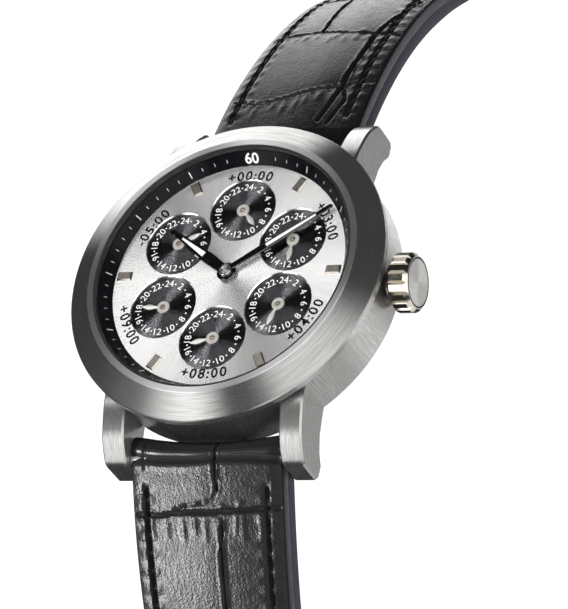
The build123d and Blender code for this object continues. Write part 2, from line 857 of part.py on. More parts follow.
def make_movement_ring():
    """Spacer ring that centres the movement in the case and carries the dial."""
    outer = bore_r - seat_gap
    ledge_r = outer - ring_wall_foot
    wall_r = outer - ring_wall_top - seat_gap
    body = turned(
        (ledge_r, back_skirt_z), (outer, back_skirt_z), (outer, dial_low_z), (wall_r, dial_low_z),
        (wall_r, plate_low_z), (ledge_r, plate_low_z),
    )
    return body - turned_on_stem((0, 0), (bore_r, 0), (bore_r, tube_r + seat_gap), (0, tube_r + seat_gap))


def make_battery():
    """Button cell against the main plate."""
    cap_low_z = plate_low_z - battery_height
    cap_high_z = cap_low_z + battery_cap
    can = disc(battery_r, cap_high_z, plate_low_z, battery_x, battery_y)
    return can + disc(battery_cap_r, cap_low_z, cap_high_z, battery_x, battery_y)


def make_circuit_board():
    """Circuit board with its chip and quartz can, under the main plate."""
    low = plate_low_z - board_height
    area = block((-bridge_r, board_y, low), (board_x, bridge_r, plate_low_z))
    board = disc(bridge_r, low, plate_low_z) & area
    chip = Pos(chip_x, chip_y, low - chip_height / 2) * Box(chip_size, chip_size, chip_height)
    can = Pos(quartz_can_x, quartz_can_y, low - quartz_can_r) * Rot(0, 90, 0) * Cylinder(
        quartz_can_r, quartz_can_length
    )
    saddle = Pos(quartz_can_x, quartz_can_y, low - quartz_can_r / 2) * Box(
        quartz_can_length / 2, quartz_can_r, quartz_can_r
    )
    return board + chip + saddle + can


def make_motor_coil():
    """Motor coil on its core, whose flat arms reach round the rotor and rest on two feet."""
    coil_z = plate_low_z - pocket_gap - coil_r
    winding = Pos(coil_x, coil_y, coil_z) * Rot(0, 90, 0) * Cylinder(coil_r, coil_length)
    core = Pos(coil_x, coil_y, coil_z) * Rot(0, 90, 0) * Cylinder(core_r, coil_length + 2 * core_overhang)
    low = (rotor_low_z + rotor_high_z - stator_height) / 2
    high = low + stator_height
    arms = None
    for side in (-1, 1):
        foot_x = coil_x + side * (coil_length / 2 + core_overhang)
        half = core_foot / 2
        foot = block((foot_x - half, coil_y - half, low), (foot_x + half, coil_y + half, plate_low_z))
        reach = hypot(rotor_x - foot_x, rotor_y - coil_y)
        turn = degrees(atan2(rotor_y - coil_y, rotor_x - foot_x))
        arm = Pos(foot_x, coil_y, (low + high) / 2) * Rot(0, 0, turn) * Pos(reach / 2, 0, 0) * Box(
            reach, core_foot, stator_height
        )
        arms = foot + arm if arms is None else arms + foot + arm
    eye = disc(rotor_r + core_foot / 2 + stator_gap, low, high, rotor_x, rotor_y)
    hole = disc(rotor_r + stator_gap, 0, plate_low_z, rotor_x, rotor_y)
    return winding + core + arms + eye - hole


# Crown and stem
crown_outer_x = crown_inner_x + crown_length
tube_end_x = bore_r + tube_length
gasket_x = crown_inner_x + crown_gasket_section / 2
crown_bore_depth = tube_end_x + seat_gap - crown_inner_x


def make_crown():
    """Fluted crown with a bevelled rim, a turned end disc and a bore over the case tube."""
    step = 360.0 / crown_flutes
    outline = []
    for index in range(crown_flutes):
        outline.append(polar(crown_r - crown_flute_depth, index * step))
        outline.append(polar(crown_r, (index + crown_shoulder_share) * step))
        outline.append(polar(crown_r, (index + 1 - crown_shoulder_share) * step))
    end_plane = Plane(origin=(crown_inner_x, 0, crown_z), x_dir=(0, 1, 0), z_dir=(1, 0, 0))
    body = extrude(end_plane * Polygon(*outline, align=None), crown_length)
    disc_r = crown_rim_r - crown_recess_width
    envelope = turned_on_stem(
        (crown_inner_x, 0), (crown_inner_x, crown_r - crown_inner_bevel),
        (crown_inner_x + crown_inner_bevel, crown_r),
        (crown_outer_x - crown_bevel, crown_r), (crown_outer_x, crown_rim_r + crown_recess_width / 2),
        (crown_outer_x, crown_rim_r), (crown_outer_x - crown_recess_depth, crown_rim_r),
        (crown_outer_x - crown_recess_depth, disc_r), (crown_outer_x, disc_r), (crown_outer_x, 0),
    )
    collar = turned_on_stem(
        (crown_inner_x - crown_collar, 0), (crown_inner_x - crown_collar, crown_collar_r),
        (crown_inner_x + seat_gap, crown_collar_r), (crown_inner_x + seat_gap, 0),
    )
    bore_end_x = crown_inner_x + crown_bore_depth + crown_gasket_section / 2
    bore_r_on_tube = tube_r + seat_gap
    gasket_end_x = gasket_x + crown_gasket_section
    bore = turned_on_stem(
        (0, 0), (0, bore_r_on_tube + crown_gasket_section),
        (gasket_end_x, bore_r_on_tube + crown_gasket_section),
        (gasket_end_x, bore_r_on_tube), (bore_end_x, bore_r_on_tube), (bore_end_x, 0),
    )
    return (body & envelope) + collar - bore


def make_crown_gasket():
    """Gasket inside the crown, round the tube."""
    inner = tube_r + run_gap
    outer = tube_r + seat_gap + crown_gasket_section
    gasket_end_x = gasket_x + crown_gasket_section
    return turned_on_stem((gasket_x, inner), (gasket_end_x, inner), (gasket_end_x, outer), (gasket_x, outer))


def make_crown_tube():
    """Tube pressed into the case, which guides the stem."""
    return turned_on_stem(
        (bore_r, tube_bore_r), (tube_end_x, tube_bore_r), (tube_end_x, tube_r), (bore_r, tube_r),
    )


def make_stem():
    """Stem with a pivot, a square for the clutch wheel and a round shaft into the crown."""
    square_x = stem_pivot_x + stem_pivot_length
    round_x = square_x + stem_square_length
    end_x = crown_inner_x + crown_bore_depth + crown_gasket_section / 2
    half = stem_square / 2
    pivot = turned_on_stem(
        (stem_pivot_x, 0), (square_x, 0), (square_x, stem_pivot_r), (stem_pivot_x, stem_pivot_r),
    )
    square = block((square_x, -half, crown_z - half), (round_x, half, crown_z + half))
    shaft = turned_on_stem((round_x, 0), (end_x, 0), (end_x, stem_r), (round_x, stem_r))
    return pivot + square + shaft


def make_clutch_wheel():
    """Clutch wheel that turns with the stem and lets it slide through its square hole."""
    body = turned_on_stem(
        (clutch_low_x, 0), (clutch_high_x, 0), (clutch_high_x, clutch_r - clutch_tooth_depth),
        (clutch_high_x - clutch_tooth_depth, clutch_r), (clutch_low_x + clutch_tooth_depth, clutch_r),
        (clutch_low_x, clutch_r - clutch_tooth_depth),
    )
    step = 360.0 / clutch_teeth
    for index in range(clutch_teeth):
        notch = Box(clutch_tooth_depth, clutch_tooth_depth, 2 * clutch_tooth_depth)
        on_axis = Pos(clutch_high_x, 0, crown_z) * Rot(index * step, 0, 0)
        body -= on_axis * Pos(0, 0, clutch_r - clutch_tooth_depth) * notch
    hole = stem_square / 2 + run_gap
    square = block(
        (clutch_low_x - cut_over, -hole, crown_z - hole), (clutch_high_x + cut_over, hole, crown_z + hole)
    )
    return body - square


# Spring bars
def make_spring_bar(side_y):
    """Spring bar with sprung tips that sit in the lugs."""
    tube_end = lug_gap / 2 - bar_end_gap
    tip_end = lug_gap / 2 + bar_tip_length
    points = (
        (0, 0), (0, bar_r), (tube_end, bar_r), (tube_end, bar_tip_r), (tip_end, bar_tip_r), (tip_end, 0),
    )
    half = Polygon(*points, align=None)
    section = Plane(origin=(0, side_y * bar_y, bar_z), x_dir=(1, 0, 0), z_dir=(0, -1, 0)) * half
    right = revolve(section, axis=Axis((0, side_y * bar_y, bar_z), (1, 0, 0)))
    return right + mirror(right, Plane.YZ)


# Strap
def strap_section(side_y, path, heading_deg, distance, width, thick, crown):
    """Cross-section of the strap: flat lining, square edges and a padded top."""
    out, up, angle = on_path(path, heading_deg, distance)
    middle = Vector(0, side_y * (bar_y + out), bar_z + up)
    rise = Vector(0, -side_y * sin(radians(angle)), cos(radians(angle)))
    padded_x = width / 2 - strap_edge_width
    top = [(padded_x + share * strap_edge_width, thick / 2 - crown * drop) for share, drop in section_shares]
    top[0] = (width / 4, thick / 2)
    corners = [(-width / 2, -thick / 2), (width / 2, -thick / 2)]
    corners += [(x, z) for x, z in reversed(top)]
    corners += [(-x, z) for x, z in top]
    return Wire.make_polygon([middle + Vector(x, 0, 0) + rise * z for x, z in corners], close=True)


def blend_between(start, end, share):
    """Value part of the way from start to end, with a gentle start and finish."""
    share = min(max(share, 0.0), 1.0)
    return start + (end - start) * share * share * (3.0 - 2.0 * share)


def stations(path):
    """Distances along a path at which the strap has a section."""
    marks = [0.0]
    for length, turn_deg in path:
        count = max(ceil(length / strap_step), ceil(abs(turn_deg) / strap_turn_step_deg))
        start = marks[-1]
        marks += [start + length * (index + 1) / count for index in range(count)]
    return marks


def strap_body(side_y, path, heading_deg, length, end_thick, pointed):
    """Leather strap half along its path, tapered in width and thickness."""
    marks = stations(path)
    if pointed:
        start = length - tail_point_length
        marks = [mark for mark in marks if mark < start - strap_step / 2]
        marks += [start + share * tail_point_length for share, _ in tail_shares]
    wires = []
    for mark in marks:
        width = blend_between(strap_width, strap_end_width, mark / strap_taper_length)
        thinning = (mark - strap_full_length) / (strap_taper_length - strap_full_length)
        thick = blend_between(strap_thick, end_thick, thinning)
        if pointed and mark > length - tail_point_length:
            along = (mark - length + tail_point_length) / tail_point_length
            width *= between_shares(tail_shares, along)
        wires.append(strap_section(side_y, path, heading_deg, mark, width, thick, strap_edge_drop))
    return Solid.make_loft(wires, ruled=True)


def between_shares(table, along):
    """Value of a table of shares at a place between its rows."""
    for (a, low), (b, high) in zip(table, table[1:]):
        if along <= b:
            return low + (high - low) * (along - a) / (b - a)
    return table[-1][1]


def across(radius, length, y, z):
    """Cylinder about an X axis."""
    return Pos(0, y, z) * Rot(0, 90, 0) * Cylinder(radius, length)


buckle_out, buckle_up, buckle_heading = on_path(upper_path, upper_heading_deg, upper_length)
buckle_y = bar_y + buckle_out


def make_strap_upper():
    """Buckle side of the strap, folded round its spring bar and the buckle bar."""
    body = strap_body(1, upper_path, upper_heading_deg, upper_length, strap_end_thick, False)
    body += across(strap_thick / 2, strap_width, bar_y, bar_z)
    body += across(strap_end_thick / 2, strap_end_width, buckle_y, buckle_z)
    body -= across(bar_r + seat_gap, strap_width + cut_over, bar_y, bar_z)
    body -= across(buckle_bar_r + press_gap, strap_width + cut_over, buckle_y, buckle_z)
    slot = Box(tongue_slot_width, 2 * tongue_slot_length, 2 * strap_thick)
    return body - Pos(0, buckle_y, buckle_z) * Rot(buckle_heading, 0, 0) * slot


def make_strap_lower():
    """Tail side of the strap, with its row of holes and a pointed end."""
    body = strap_body(-1, lower_path, lower_heading_deg, lower_length, strap_tail_thick, True)
    body += across(strap_thick / 2, strap_width, -bar_y, bar_z)
    body -= across(bar_r + seat_gap, strap_width + cut_over, -bar_y, bar_z)
    for index in range(tail_hole_count):
        distance = lower_length - tail_hole_first - index * tail_hole_pitch
        out, up, angle = on_path(lower_path, lower_heading_deg, distance)
        body -= Pos(0, -bar_y - out, bar_z + up) * Rot(-angle, 0, 0) * Cylinder(tail_hole_r, 2 * strap_thick)
    return body


# Buckle
def make_buckle_bar():
    """Bar that joins the strap, the frame and the tongue."""
    return across(buckle_bar_r, 2 * buckle_bar_reach, buckle_y, buckle_z)


def on_buckle(points):
    """Face in the frame's side plane, from points given as distance from the bar and height."""
    outline = [(buckle_y + out, buckle_z + up) for out, up in points]
    return Plane.YZ * Polygon(*outline, align=None)


buckle_inner_x = strap_end_width / 2 + buckle_side_gap
buckle_outer_x = buckle_inner_x + buckle_arm_width
frame_top = buckle_end_height - buckle_low


def make_buckle_frame():
    """Buckle frame: two arms with eyes for the bar, and an end bar notched for the tongue."""
    outer = block(
        (-buckle_outer_x, buckle_y, buckle_z - buckle_low),
        (buckle_outer_x, buckle_y + buckle_length, buckle_z + buckle_low),
    )
    end_edges = [
        edge for edge in outer.edges().filter_by(Axis.Z) if edge.center().Y > buckle_y + buckle_length / 2
    ]
    outer = fillet(end_edges, buckle_corner_r)
    outline = ((0, -buckle_low), (buckle_length, -buckle_low), (buckle_length, frame_top), (0, buckle_low))
    side = extrude(on_buckle(outline), buckle_outer_x, both=True)
    inner = block(
        (-buckle_inner_x, buckle_y - cut_over, buckle_z - buckle_low - cut_over),
        (buckle_inner_x, buckle_y + buckle_length - buckle_end_width, buckle_z + buckle_low + cut_over),
    )
    frame = (outer & side) - inner
    for side_x in (1, -1):
        eye = across(buckle_low, buckle_arm_width, buckle_y, buckle_z)
        frame += Pos(side_x * (buckle_inner_x + buckle_outer_x) / 2, 0, 0) * eye
    frame -= across(buckle_bar_r + run_gap, 2 * buckle_outer_x + cut_over, buckle_y, buckle_z)
    notch_low = buckle_y + buckle_length - buckle_end_width - cut_over
    half = tongue_width / 2 + tongue_gap
    notch = block(
        (-half, notch_low, buckle_z + frame_top - tongue_notch_depth),
        (half, buckle_y + buckle_length + cut_over, buckle_z + buckle_low),
    )
    return frame - notch


def make_buckle_tongue():
    """Tongue that turns on the bar and rests in the frame's notch."""
    rest = frame_top - tongue_notch_depth + tongue_gap
    bend = buckle_length - buckle_end_width
    outline = (
        (0, -tongue_height / 2), (bend, rest), (buckle_length, rest),
        (buckle_length, rest + tongue_height / 2), (bend, rest + tongue_height), (0, tongue_loop_r),
    )
    shank = extrude(on_buckle(outline), tongue_width / 2, both=True)
    loop = across(tongue_loop_r, tongue_width, buckle_y, buckle_z)
    return shank + loop - across(buckle_bar_r + run_gap, tongue_width + cut_over, buckle_y, buckle_z)


def keeper_at(distance, extra):
    """Leather loop round the strap, with room above it for the tail."""
    out, up, angle = on_path(upper_path, upper_heading_deg, distance)
    inner_width = strap_end_width + 2 * extra
    low = -strap_end_thick / 2 - extra
    high = strap_end_thick / 2 + keeper_room
    outer = block(
        (-inner_width / 2 - keeper_wall, -keeper_width / 2, low - keeper_wall),
        (inner_width / 2 + keeper_wall, keeper_width / 2, high + keeper_wall),
    )
    outer = fillet(outer.edges().filter_by(Axis.Y), keeper_wall)
    hole = block((-inner_width / 2, -keeper_width, low), (inner_width / 2, keeper_width, high))
    return Pos(0, bar_y + out, bar_z + up) * Rot(angle, 0, 0) * (outer - hole)


parts = {
    "bezel": make_bezel(),
    "crystal": make_crystal(),
    "crystal_gasket": ring(bezel_inner_r, crystal_r, crystal_low_z, crystal_top_z - crystal_chamfer),
    "dial_flange": make_dial_flange(),
    "middle_case": make_middle_case(),
    "case_back": make_case_back(),
    "back_gasket": make_back_gasket(),
    "back_screws": make_back_screws(),
    "crown_tube": make_crown_tube(),
    "movement_ring": make_movement_ring(),
    "main_plate": make_main_plate(),
    "train_bridge": make_train_bridge(),
    "module_plate": make_module_plate(),
    "circuit_board": make_circuit_board(),
    "battery": make_battery(),
    "motor_coil": make_motor_coil(),
    "dial": make_dial(),
    "hour_markers": make_hour_markers(),
    "cannon_pinion": make_cannon_pinion(),
    "centre_wheel": make_centre_wheel(),
    "minute_hand": make_minute_hand(),
    "hour_wheel": make_hour_wheel(),
    "hour_hand": make_hour_hand(),
    "minute_wheel": make_minute_wheel(),
    "train_wheel": make_train_wheel(),
    "rotor": make_rotor(),
    "clutch_wheel": make_clutch_wheel(),
    "crown": make_crown(),
    "stem": make_stem(),
    "crown_gasket": make_crown_gasket(),
    "spring_bar_12": make_spring_bar(1),
    "spring_bar_6": make_spring_bar(-1),
    "strap_upper": make_strap_upper(),
    "strap_lower": make_strap_lower(),
    "buckle_bar": make_buckle_bar(),
    "buckle_frame": make_buckle_frame(),
    "buckle_tongue": make_buckle_tongue(),
    "keeper_fixed": keeper_at(keeper_fixed_s, 0.0),
    "keeper_free": keeper_at(keeper_free_s, keeper_gap),
}
for zone_index, zone_name in enumerate(zone_names):
    parts["subdial_" + zone_name] = make_subdial(*zone_places[zone_index])
    parts["zone_wheel_" + zone_name] = make_zone_wheel(zone_index)
    parts["zone_hand_" + zone_name] = make_zone_hand(zone_index)
for idler_index, idler_name in enumerate(("1", "5", "9")):
    parts["idler_" + idler_name] = make_idler(idler_index)

os.makedirs("parts", exist_ok=True)
for node, solid in parts.items():
    export_step(solid, "parts/" + node + ".step")
print("table height", round(table_z, 3), "flat tail", round(tail_flat, 3))
print("buckle bar", round(buckle_y, 3), round(buckle_z, 3))
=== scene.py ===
import json
import random
from math import asin, ceil, cos, pi, radians, sin, sqrt, tan

import bpy
import numpy as np
from mathutils import Matrix, Vector


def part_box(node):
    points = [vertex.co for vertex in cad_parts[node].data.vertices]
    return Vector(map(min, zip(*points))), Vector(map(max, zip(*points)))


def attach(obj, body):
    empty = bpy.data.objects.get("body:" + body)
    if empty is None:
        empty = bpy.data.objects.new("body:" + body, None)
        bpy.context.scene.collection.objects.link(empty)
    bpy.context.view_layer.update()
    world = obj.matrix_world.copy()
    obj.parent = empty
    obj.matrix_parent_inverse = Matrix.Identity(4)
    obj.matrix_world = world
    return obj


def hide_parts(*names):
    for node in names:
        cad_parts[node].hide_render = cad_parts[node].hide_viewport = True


# Looks of the world time watch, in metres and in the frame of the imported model.
# Sizes are written in millimetres times mm. Tables and materials hold plain millimetres.
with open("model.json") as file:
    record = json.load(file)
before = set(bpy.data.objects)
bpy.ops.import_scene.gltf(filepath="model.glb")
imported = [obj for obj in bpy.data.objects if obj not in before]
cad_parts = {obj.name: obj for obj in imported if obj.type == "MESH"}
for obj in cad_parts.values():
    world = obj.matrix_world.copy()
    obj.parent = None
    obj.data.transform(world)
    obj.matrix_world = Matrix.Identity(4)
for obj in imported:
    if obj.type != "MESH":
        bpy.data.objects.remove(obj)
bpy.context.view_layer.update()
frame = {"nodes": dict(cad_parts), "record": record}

mm = 0.001
chance = random.Random(7)
east = np.array((1.0, 0.0, 0.0))

# Camera of the photograph
photo_azimuth = radians(43.567)
photo_elevation = radians(50.447)
photo_roll = radians(-37.945)
photo_distance = 404.424 * mm
photo_shift_right = 6.808 * mm
photo_shift_up = -3.957 * mm
photo_aim = Vector((0.0, 0.0, 8.0 * mm))
photo_lens = 205.47
photo_sensor = 36.0

# Strap, along its path from the spring bar
bar_y = 21.3 * mm
bar_z = 1.5 * mm
strap_width = 19.6 * mm
strap_end_width = 18.0 * mm
strap_thick = 3.8 * mm
strap_end_thick = 3.0 * mm
strap_tail_thick = 2.4 * mm
strap_full_length = 30.0 * mm
strap_taper_length = 46.0 * mm
upper_heading = radians(-12.0)
upper_bend_r = 70.0 * mm
upper_bend_length = 40.0 * mm
upper_length = 75.0 * mm
lower_heading = radians(-30.0)
lower_bend_r = 95.0 * mm
lower_bend_length = 30.0 * mm
lower_flare_r = 40.0 * mm
lower_length = 115.0 * mm
buckle_low = 1.5 * mm
tail_point_length = 12.0 * mm
tail_marks = (0.0, 0.35, 0.65, 0.87, 1.0)
tail_shares = (1.0, 0.93, 0.76, 0.5, 0.22)
tail_hole_count = 7
tail_hole_r = 0.9 * mm
tail_hole_pitch = 6.5 * mm
tail_hole_first = 22.0 * mm
tail_hole_sides = 24
tongue_slot_width = 3.2 * mm
tongue_slot_length = 5.5 * mm

# Skin of the strap: its crown, its edges and its net of points
pad_drop = 0.34 * mm
pad_edge = 1.9 * mm
ridge_drop = 0.7 * mm
ridge_round = 1.6 * mm
upper_ridge_x = 2.0 * mm
lower_ridge_x = 1.5 * mm
end_curve = 1.15 * mm
edge_round = 0.22 * mm
row_step = 0.25 * mm
column_step = 0.22 * mm
fold_rows = 28
seam_depth = 0.09 * mm
seam_share = 0.46
side_shares = (0.08, 0.4, seam_share, 0.52, 0.92)

# Embossed creases and folds, and the stitching
crease_depth = 0.36 * mm
crease_width = 0.17 * mm
crease_lip = 0.1 * mm
pillow_depth = 0.13 * mm
pillow_width = 0.9 * mm
wander_reach = 0.12 * mm
wander_pitch = 1.7 * mm
wander_sway = 2.3 * mm
fold_depth = 0.15 * mm
relief_edge = 0.5 * mm
sunk_full = 0.36 * mm
stitch_inset = 1.95 * mm
stitch_channel = 0.34 * mm
stitch_channel_depth = 0.42 * mm
stitch_start = 2.6 * mm
stitch_stop = 7.0 * mm
stitch_pitch = 2.05 * mm
stitch_length = 2.3 * mm
stitch_r = 0.26 * mm
stitch_lean = 0.14
pucker_height = 0.06 * mm
pucker_away = 0.75 * mm
pucker_width = 0.4 * mm

# Keepers: the profile is half of a section, as shares of the keeper's half width and wall
keeper_fixed_s = 62.5 * mm
keeper_free_s = 54.0 * mm
keeper_wall = 1.2 * mm
keeper_width = 5.0 * mm
keeper_gap = 0.25 * mm
keeper_room = 2.6 * mm
keeper_profile = [(-1.0, 0.0), (-0.94, 0.28), (-0.8, 0.42), (0.8, 0.42), (0.94, 0.28), (1.0, 0.0)]
keeper_corner_steps = 8

# Printed marks
numeral_height = 0.86 * mm
numeral_ring_share = 0.79
numeral_dot_r = 0.1 * mm
offset_height = 1.25 * mm
numeral_weight = 0.0
letter_weight = 0.02
letter_gap = 0.2
offset_ring_r = 13.4 * mm
ink = 0.012 * mm
flange_ink = 0.04 * mm
flange_inner_r = 14.8 * mm
flange_outer_r = 15.95 * mm
hours_on_subdial = 24
tick_long = 0.85 * mm
tick_short = 0.42 * mm
tick_width = 0.1 * mm
tick_thin = 0.055 * mm
tick_ring_share = 0.52
top_mark_height = 1.3 * mm

# Hands
shown_minute = 9.17
shown_hour = 10
zone_hours = {"12": 9, "2": 12, "4": 13, "6": 17, "8": 18, "10": 4}
zone_offsets = {
    "12": "+00:00", "2": "+03:00", "4": "+04:00", "6": "+08:00", "8": "+09:00", "10": "-05:00",
}
hand_bevel = 0.07 * mm
filling_sunk = 0.02 * mm
filling_proud = 0.03 * mm
# Length, width at the hub, greatest width, tip width, share of the length where it is widest, hub
# radius; then the filling's start, end and width at each
hour_sizes = (10.54, 1.2, 1.45, 0.5, 0.33, 1.2)
hour_filling = (4.2, 8.3, 0.66, 0.24)
minute_sizes = (14.64, 0.78, 0.98, 0.62, 0.38, 0.92)
minute_filling = (5.6, 12.4, 0.46, 0.26)
# Turned profiles, as radius and height
hub_collar = (
    (0.44, 0.0), (0.72, 0.0), (0.76, 0.03), (0.76, 0.1), (0.7, 0.15), (0.5, 0.15), (0.44, 0.1), (0.44, 0.0),
)
hub_pin = (
    (0.42, -0.02), (0.42, 0.01), (0.38, 0.04), (0.3, 0.04), (0.26, 0.0), (0.22, -0.03), (0.16, -0.02),
    (0.15, 0.02), (0.12, 0.05), (0.06, 0.075), (0.0, 0.08),
)
zone_pin = ((0.3, 0.02), (0.3, 0.05), (0.2, 0.05), (0.17, 0.02), (0.14, 0.08), (0.08, 0.12), (0.0, 0.13))
# Zone hand: its ring as radius and share of thickness, its leaf as share of length and width
zone_ring = ((0.33, 0.0), (0.78, 0.0), (0.8, 0.3), (0.74, 1.0), (0.4, 1.0), (0.33, 0.8), (0.33, 0.0))
zone_leaf = (
    (0.2, 0.28), (0.36, 0.3), (0.44, 0.42), (0.55, 0.6), (0.68, 0.66), (0.8, 0.52), (0.9, 0.3), (1.0, 0.04),
)
leaf_length = 2.85 * mm
leaf_side_share = 0.45
leaf_root_drop = 0.02 * mm

# Places that the materials follow
bezel_lip_r = 17.12
case_band_r = 19.6
flank_slope = 0.62
dial_twist = radians(-5.0)
subdial_ring_pitch = 0.27
battery_centre = (4.4, 6.9)
crown_z = 3.9
crown_end_x = 22.63
crown_end_r = 2.925
groove_r = (2.72, 2.975)
groove_x = (22.4, 22.84)
rolled_end_y = 22.5

# Light
room_light = 0.03
fill_strength = 1.7
fill_softness = 70.0
floor_reach = 3.0
floor_room = 10.0 * mm
floor_glow = 0.62
# Panels: turns counted anticlockwise from three o'clock, heights over the horizon, softness, strength
seam_turn = 90.0
panels = (
    (100, 143, -31, 14, 6, 3.7),
    (157, 187, 44, 100, 6, 2.2),
    (211, 243, 10, 60, 6, 3.6),
    (280, 372, 0, 86, 8, 2.1),
    (300, 332, -76, -22, 8, 1.2),
    (348, 380, -76, -22, 8, 2.2),
    (398, 410, -57, -43, 6, 1.6),
    (428, 460, -76, -30, 8, 1.8),
    (80, 115, -76, -38, 8, 1.8),
)


# Small tools for meshes
def link(name, data):
    """New object in the scene that shows this data."""
    made = bpy.data.objects.new(name, data)
    bpy.context.scene.collection.objects.link(made)
    return made


def make_mesh(name, points, faces):
    """New mesh object from points and faces."""
    mesh = bpy.data.meshes.new(name)
    mesh.from_pydata([tuple(point) for point in points], [], faces)
    mesh.validate()
    return link(name, mesh)


def shade(made, smooth_deg):
    """Smooth shading, broken at edges sharper than the angle."""
    for polygon in made.data.polygons:
        polygon.use_smooth = True
    made.data.set_sharp_from_angle(angle=radians(smooth_deg))


def place_piece(made, body, slot, finish, smooth_deg=0.0):
    """Gives a piece its material and the body that it rides on; the slot argument is not used."""
    if smooth_deg:
        shade(made, smooth_deg)
    made.data.materials.append(materials[finish])
    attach(made, body)


def grid(rows, columns, closed_rows=False, closed_columns=True, flip=False):
    """Faces between rows of points; what is closed joins its last to its first."""
    faces = []
    for row in range(rows if closed_rows else rows - 1):
        here, there = row * columns, (row + 1) % rows * columns
        for column in range(columns if closed_columns else columns - 1):
            right = (column + 1) % columns
            face = (here + column, here + right, there + right, there + column)
            faces.append(face[:1] + face[:0:-1] if flip else face)
    return faces


def circle(radius, sides, centre=(0.0, 0.0)):
    """Points round a circle, anticlockwise."""
    angles = [2 * pi * side / sides for side in range(sides)]
    return [(centre[0] + radius * cos(angle), centre[1] + radius * sin(angle)) for angle in angles]


class Parts:
    """Collects points and faces of several forms for one mesh."""

    def __init__(self):
        self.points = []
        self.faces = []

    def add(self, points, faces):
        base = len(self.points)
        self.points += [tuple(point) for point in points]
        self.faces += [tuple(base + index for index in face) for face in faces]

    def turn(self, profile, centre, level, rise, count):
        """Adds a profile turned about an upright axis, its heights times rise over a level."""
        rings = [circle(radius * mm, count, centre) for radius, _ in profile]
        levels = [level + height * rise for _, height in profile]
        points = [(*ring[index], up) for index in range(count) for ring, up in zip(rings, levels)]
        self.add(points, grid(count, len(profile), True, False, True))

    def build(self, name):
        return make_mesh(name, self.points, self.faces)

    def piece(self, name, *placing):
        """Builds the mesh and places it as place_piece says."""
        made = self.build(name)
        place_piece(made, *placing)
        return made


# Node trees
class Tree:
    """Adds nodes to a tree: each method but show returns the new node's output."""

    def __init__(self, tree):
        self.tree = tree
        tree.nodes.clear()

    def add(self, kind, inputs=None, output=0, **settings):
        node = self.tree.nodes.new("ShaderNode" + kind)
        for key, value in settings.items():
            setattr(node, key, value)
        for place, value in (inputs or {}).items():
            if isinstance(value, bpy.types.NodeSocket):
                self.tree.links.new(value, node.inputs[place])
            else:
                node.inputs[place].default_value = value
        return node.outputs[output]

    def show(self, surface, kind="OutputMaterial"):
        """Joins a surface to the tree's output node."""
        node = self.tree.nodes.new("ShaderNode" + kind)
        self.tree.links.new(surface, node.inputs["Surface"])

    def math(self, operation, a, b=0.0):
        return self.add("Math", {0: a, 1: b}, operation=operation)

    def times(self, first, *others):
        for other in others:
            first = self.math("MULTIPLY", first, other)
        return first

    def plus(self, a, b):
        return self.math("ADD", a, b)

    def minus(self, a, b):
        return self.math("SUBTRACT", a, b)

    def vector(self, operation, a, b=(0.0, 0.0, 0.0)):
        output = 1 if operation in ("DOT_PRODUCT", "LENGTH") else 0
        return self.add("VectorMath", {0: a, 1: b}, output, operation=operation)

    def scaled(self, a, amount):
        return self.add("VectorMath", {0: a, "Scale": amount}, operation="SCALE")

    def stretched(self, a, amounts):
        return self.vector("MULTIPLY", a, amounts)

    def step(self, value, low, high, start=0.0, end=1.0):
        """Smooth step of a value from start to end between low and high."""
        inputs = {"Value": value, "From Min": low, "From Max": high, "To Min": start, "To Max": end}
        return self.add("MapRange", inputs, interpolation_type="SMOOTHSTEP")

    def past(self, value, mark, soft):
        """One past a mark and nothing before it, over a soft edge, or turned round if soft is negative."""
        return self.step(value, mark - soft, mark + soft)

    def noise(self, coordinates, scale, detail=2.0):
        return self.add("TexNoise", {"Vector": coordinates, "Scale": scale, "Detail": detail})

    def blend(self, share, a, b):
        """Colour between two, each an output or three numbers."""
        a, b = (value if isinstance(value, bpy.types.NodeSocket) else (*value, 1.0) for value in (a, b))
        return self.add("Mix", {0: share, 6: a, 7: b}, 2, data_type="RGBA")

    def toned(self, share, colour, contrast):
        """Colour that goes from a little darker to a little lighter."""
        dark = [channel * (1.0 - contrast) for channel in colour]
        light = [min(channel * (1.0 + contrast), 1.0) for channel in colour]
        return self.blend(share, dark, light)

    def between(self, share, a, b):
        """Number or vector between two."""
        if isinstance(a, bpy.types.NodeSocketVector):
            return self.add("Mix", {0: share, 4: a, 5: b}, 1, data_type="VECTOR")
        return self.add("Mix", {0: share, 2: a, 3: b}, data_type="FLOAT")

    def parts(self, vector):
        """The three numbers of a vector."""
        return self.add("SeparateXYZ", {0: vector}).node.outputs

    def joined(self, x, y, z):
        return self.add("CombineXYZ", {0: x, 1: y, 2: z})

    def place(self):
        """Place on the piece, in millimetres of the frame."""
        return self.scaled(self.add("TexCoord", output="Object"), 1.0 / mm)

    def normal(self):
        return self.add("TexCoord", output="Normal")

    def world_direction(self, vector):
        settings = {"vector_type": "VECTOR", "convert_from": "OBJECT", "convert_to": "WORLD"}
        return self.add("VectorTransform", {0: vector}, **settings)

    def bump(self, height, distance, strength=1.0):
        """Normal raised by a height map, over a distance in metres."""
        return self.add("Bump", {"Height": height, "Distance": distance, "Strength": strength})


def make_material(name, build):
    """New material whose Principled sockets come from build(tree)."""
    material = bpy.data.materials.new(name)
    material.use_nodes = True
    tree = Tree(material.node_tree)
    tree.show(tree.add("BsdfPrincipled", build(tree)))
    return material


def around(tree, centre=(0.0, 0.0)):
    """Distance from an upright axis and the unit vector away from it."""
    flat = tree.stretched(tree.vector("SUBTRACT", tree.place(), (*centre, 0.0)), (1.0, 1.0, 0.0))
    return tree.vector("LENGTH", flat), tree.vector("NORMALIZE", flat)


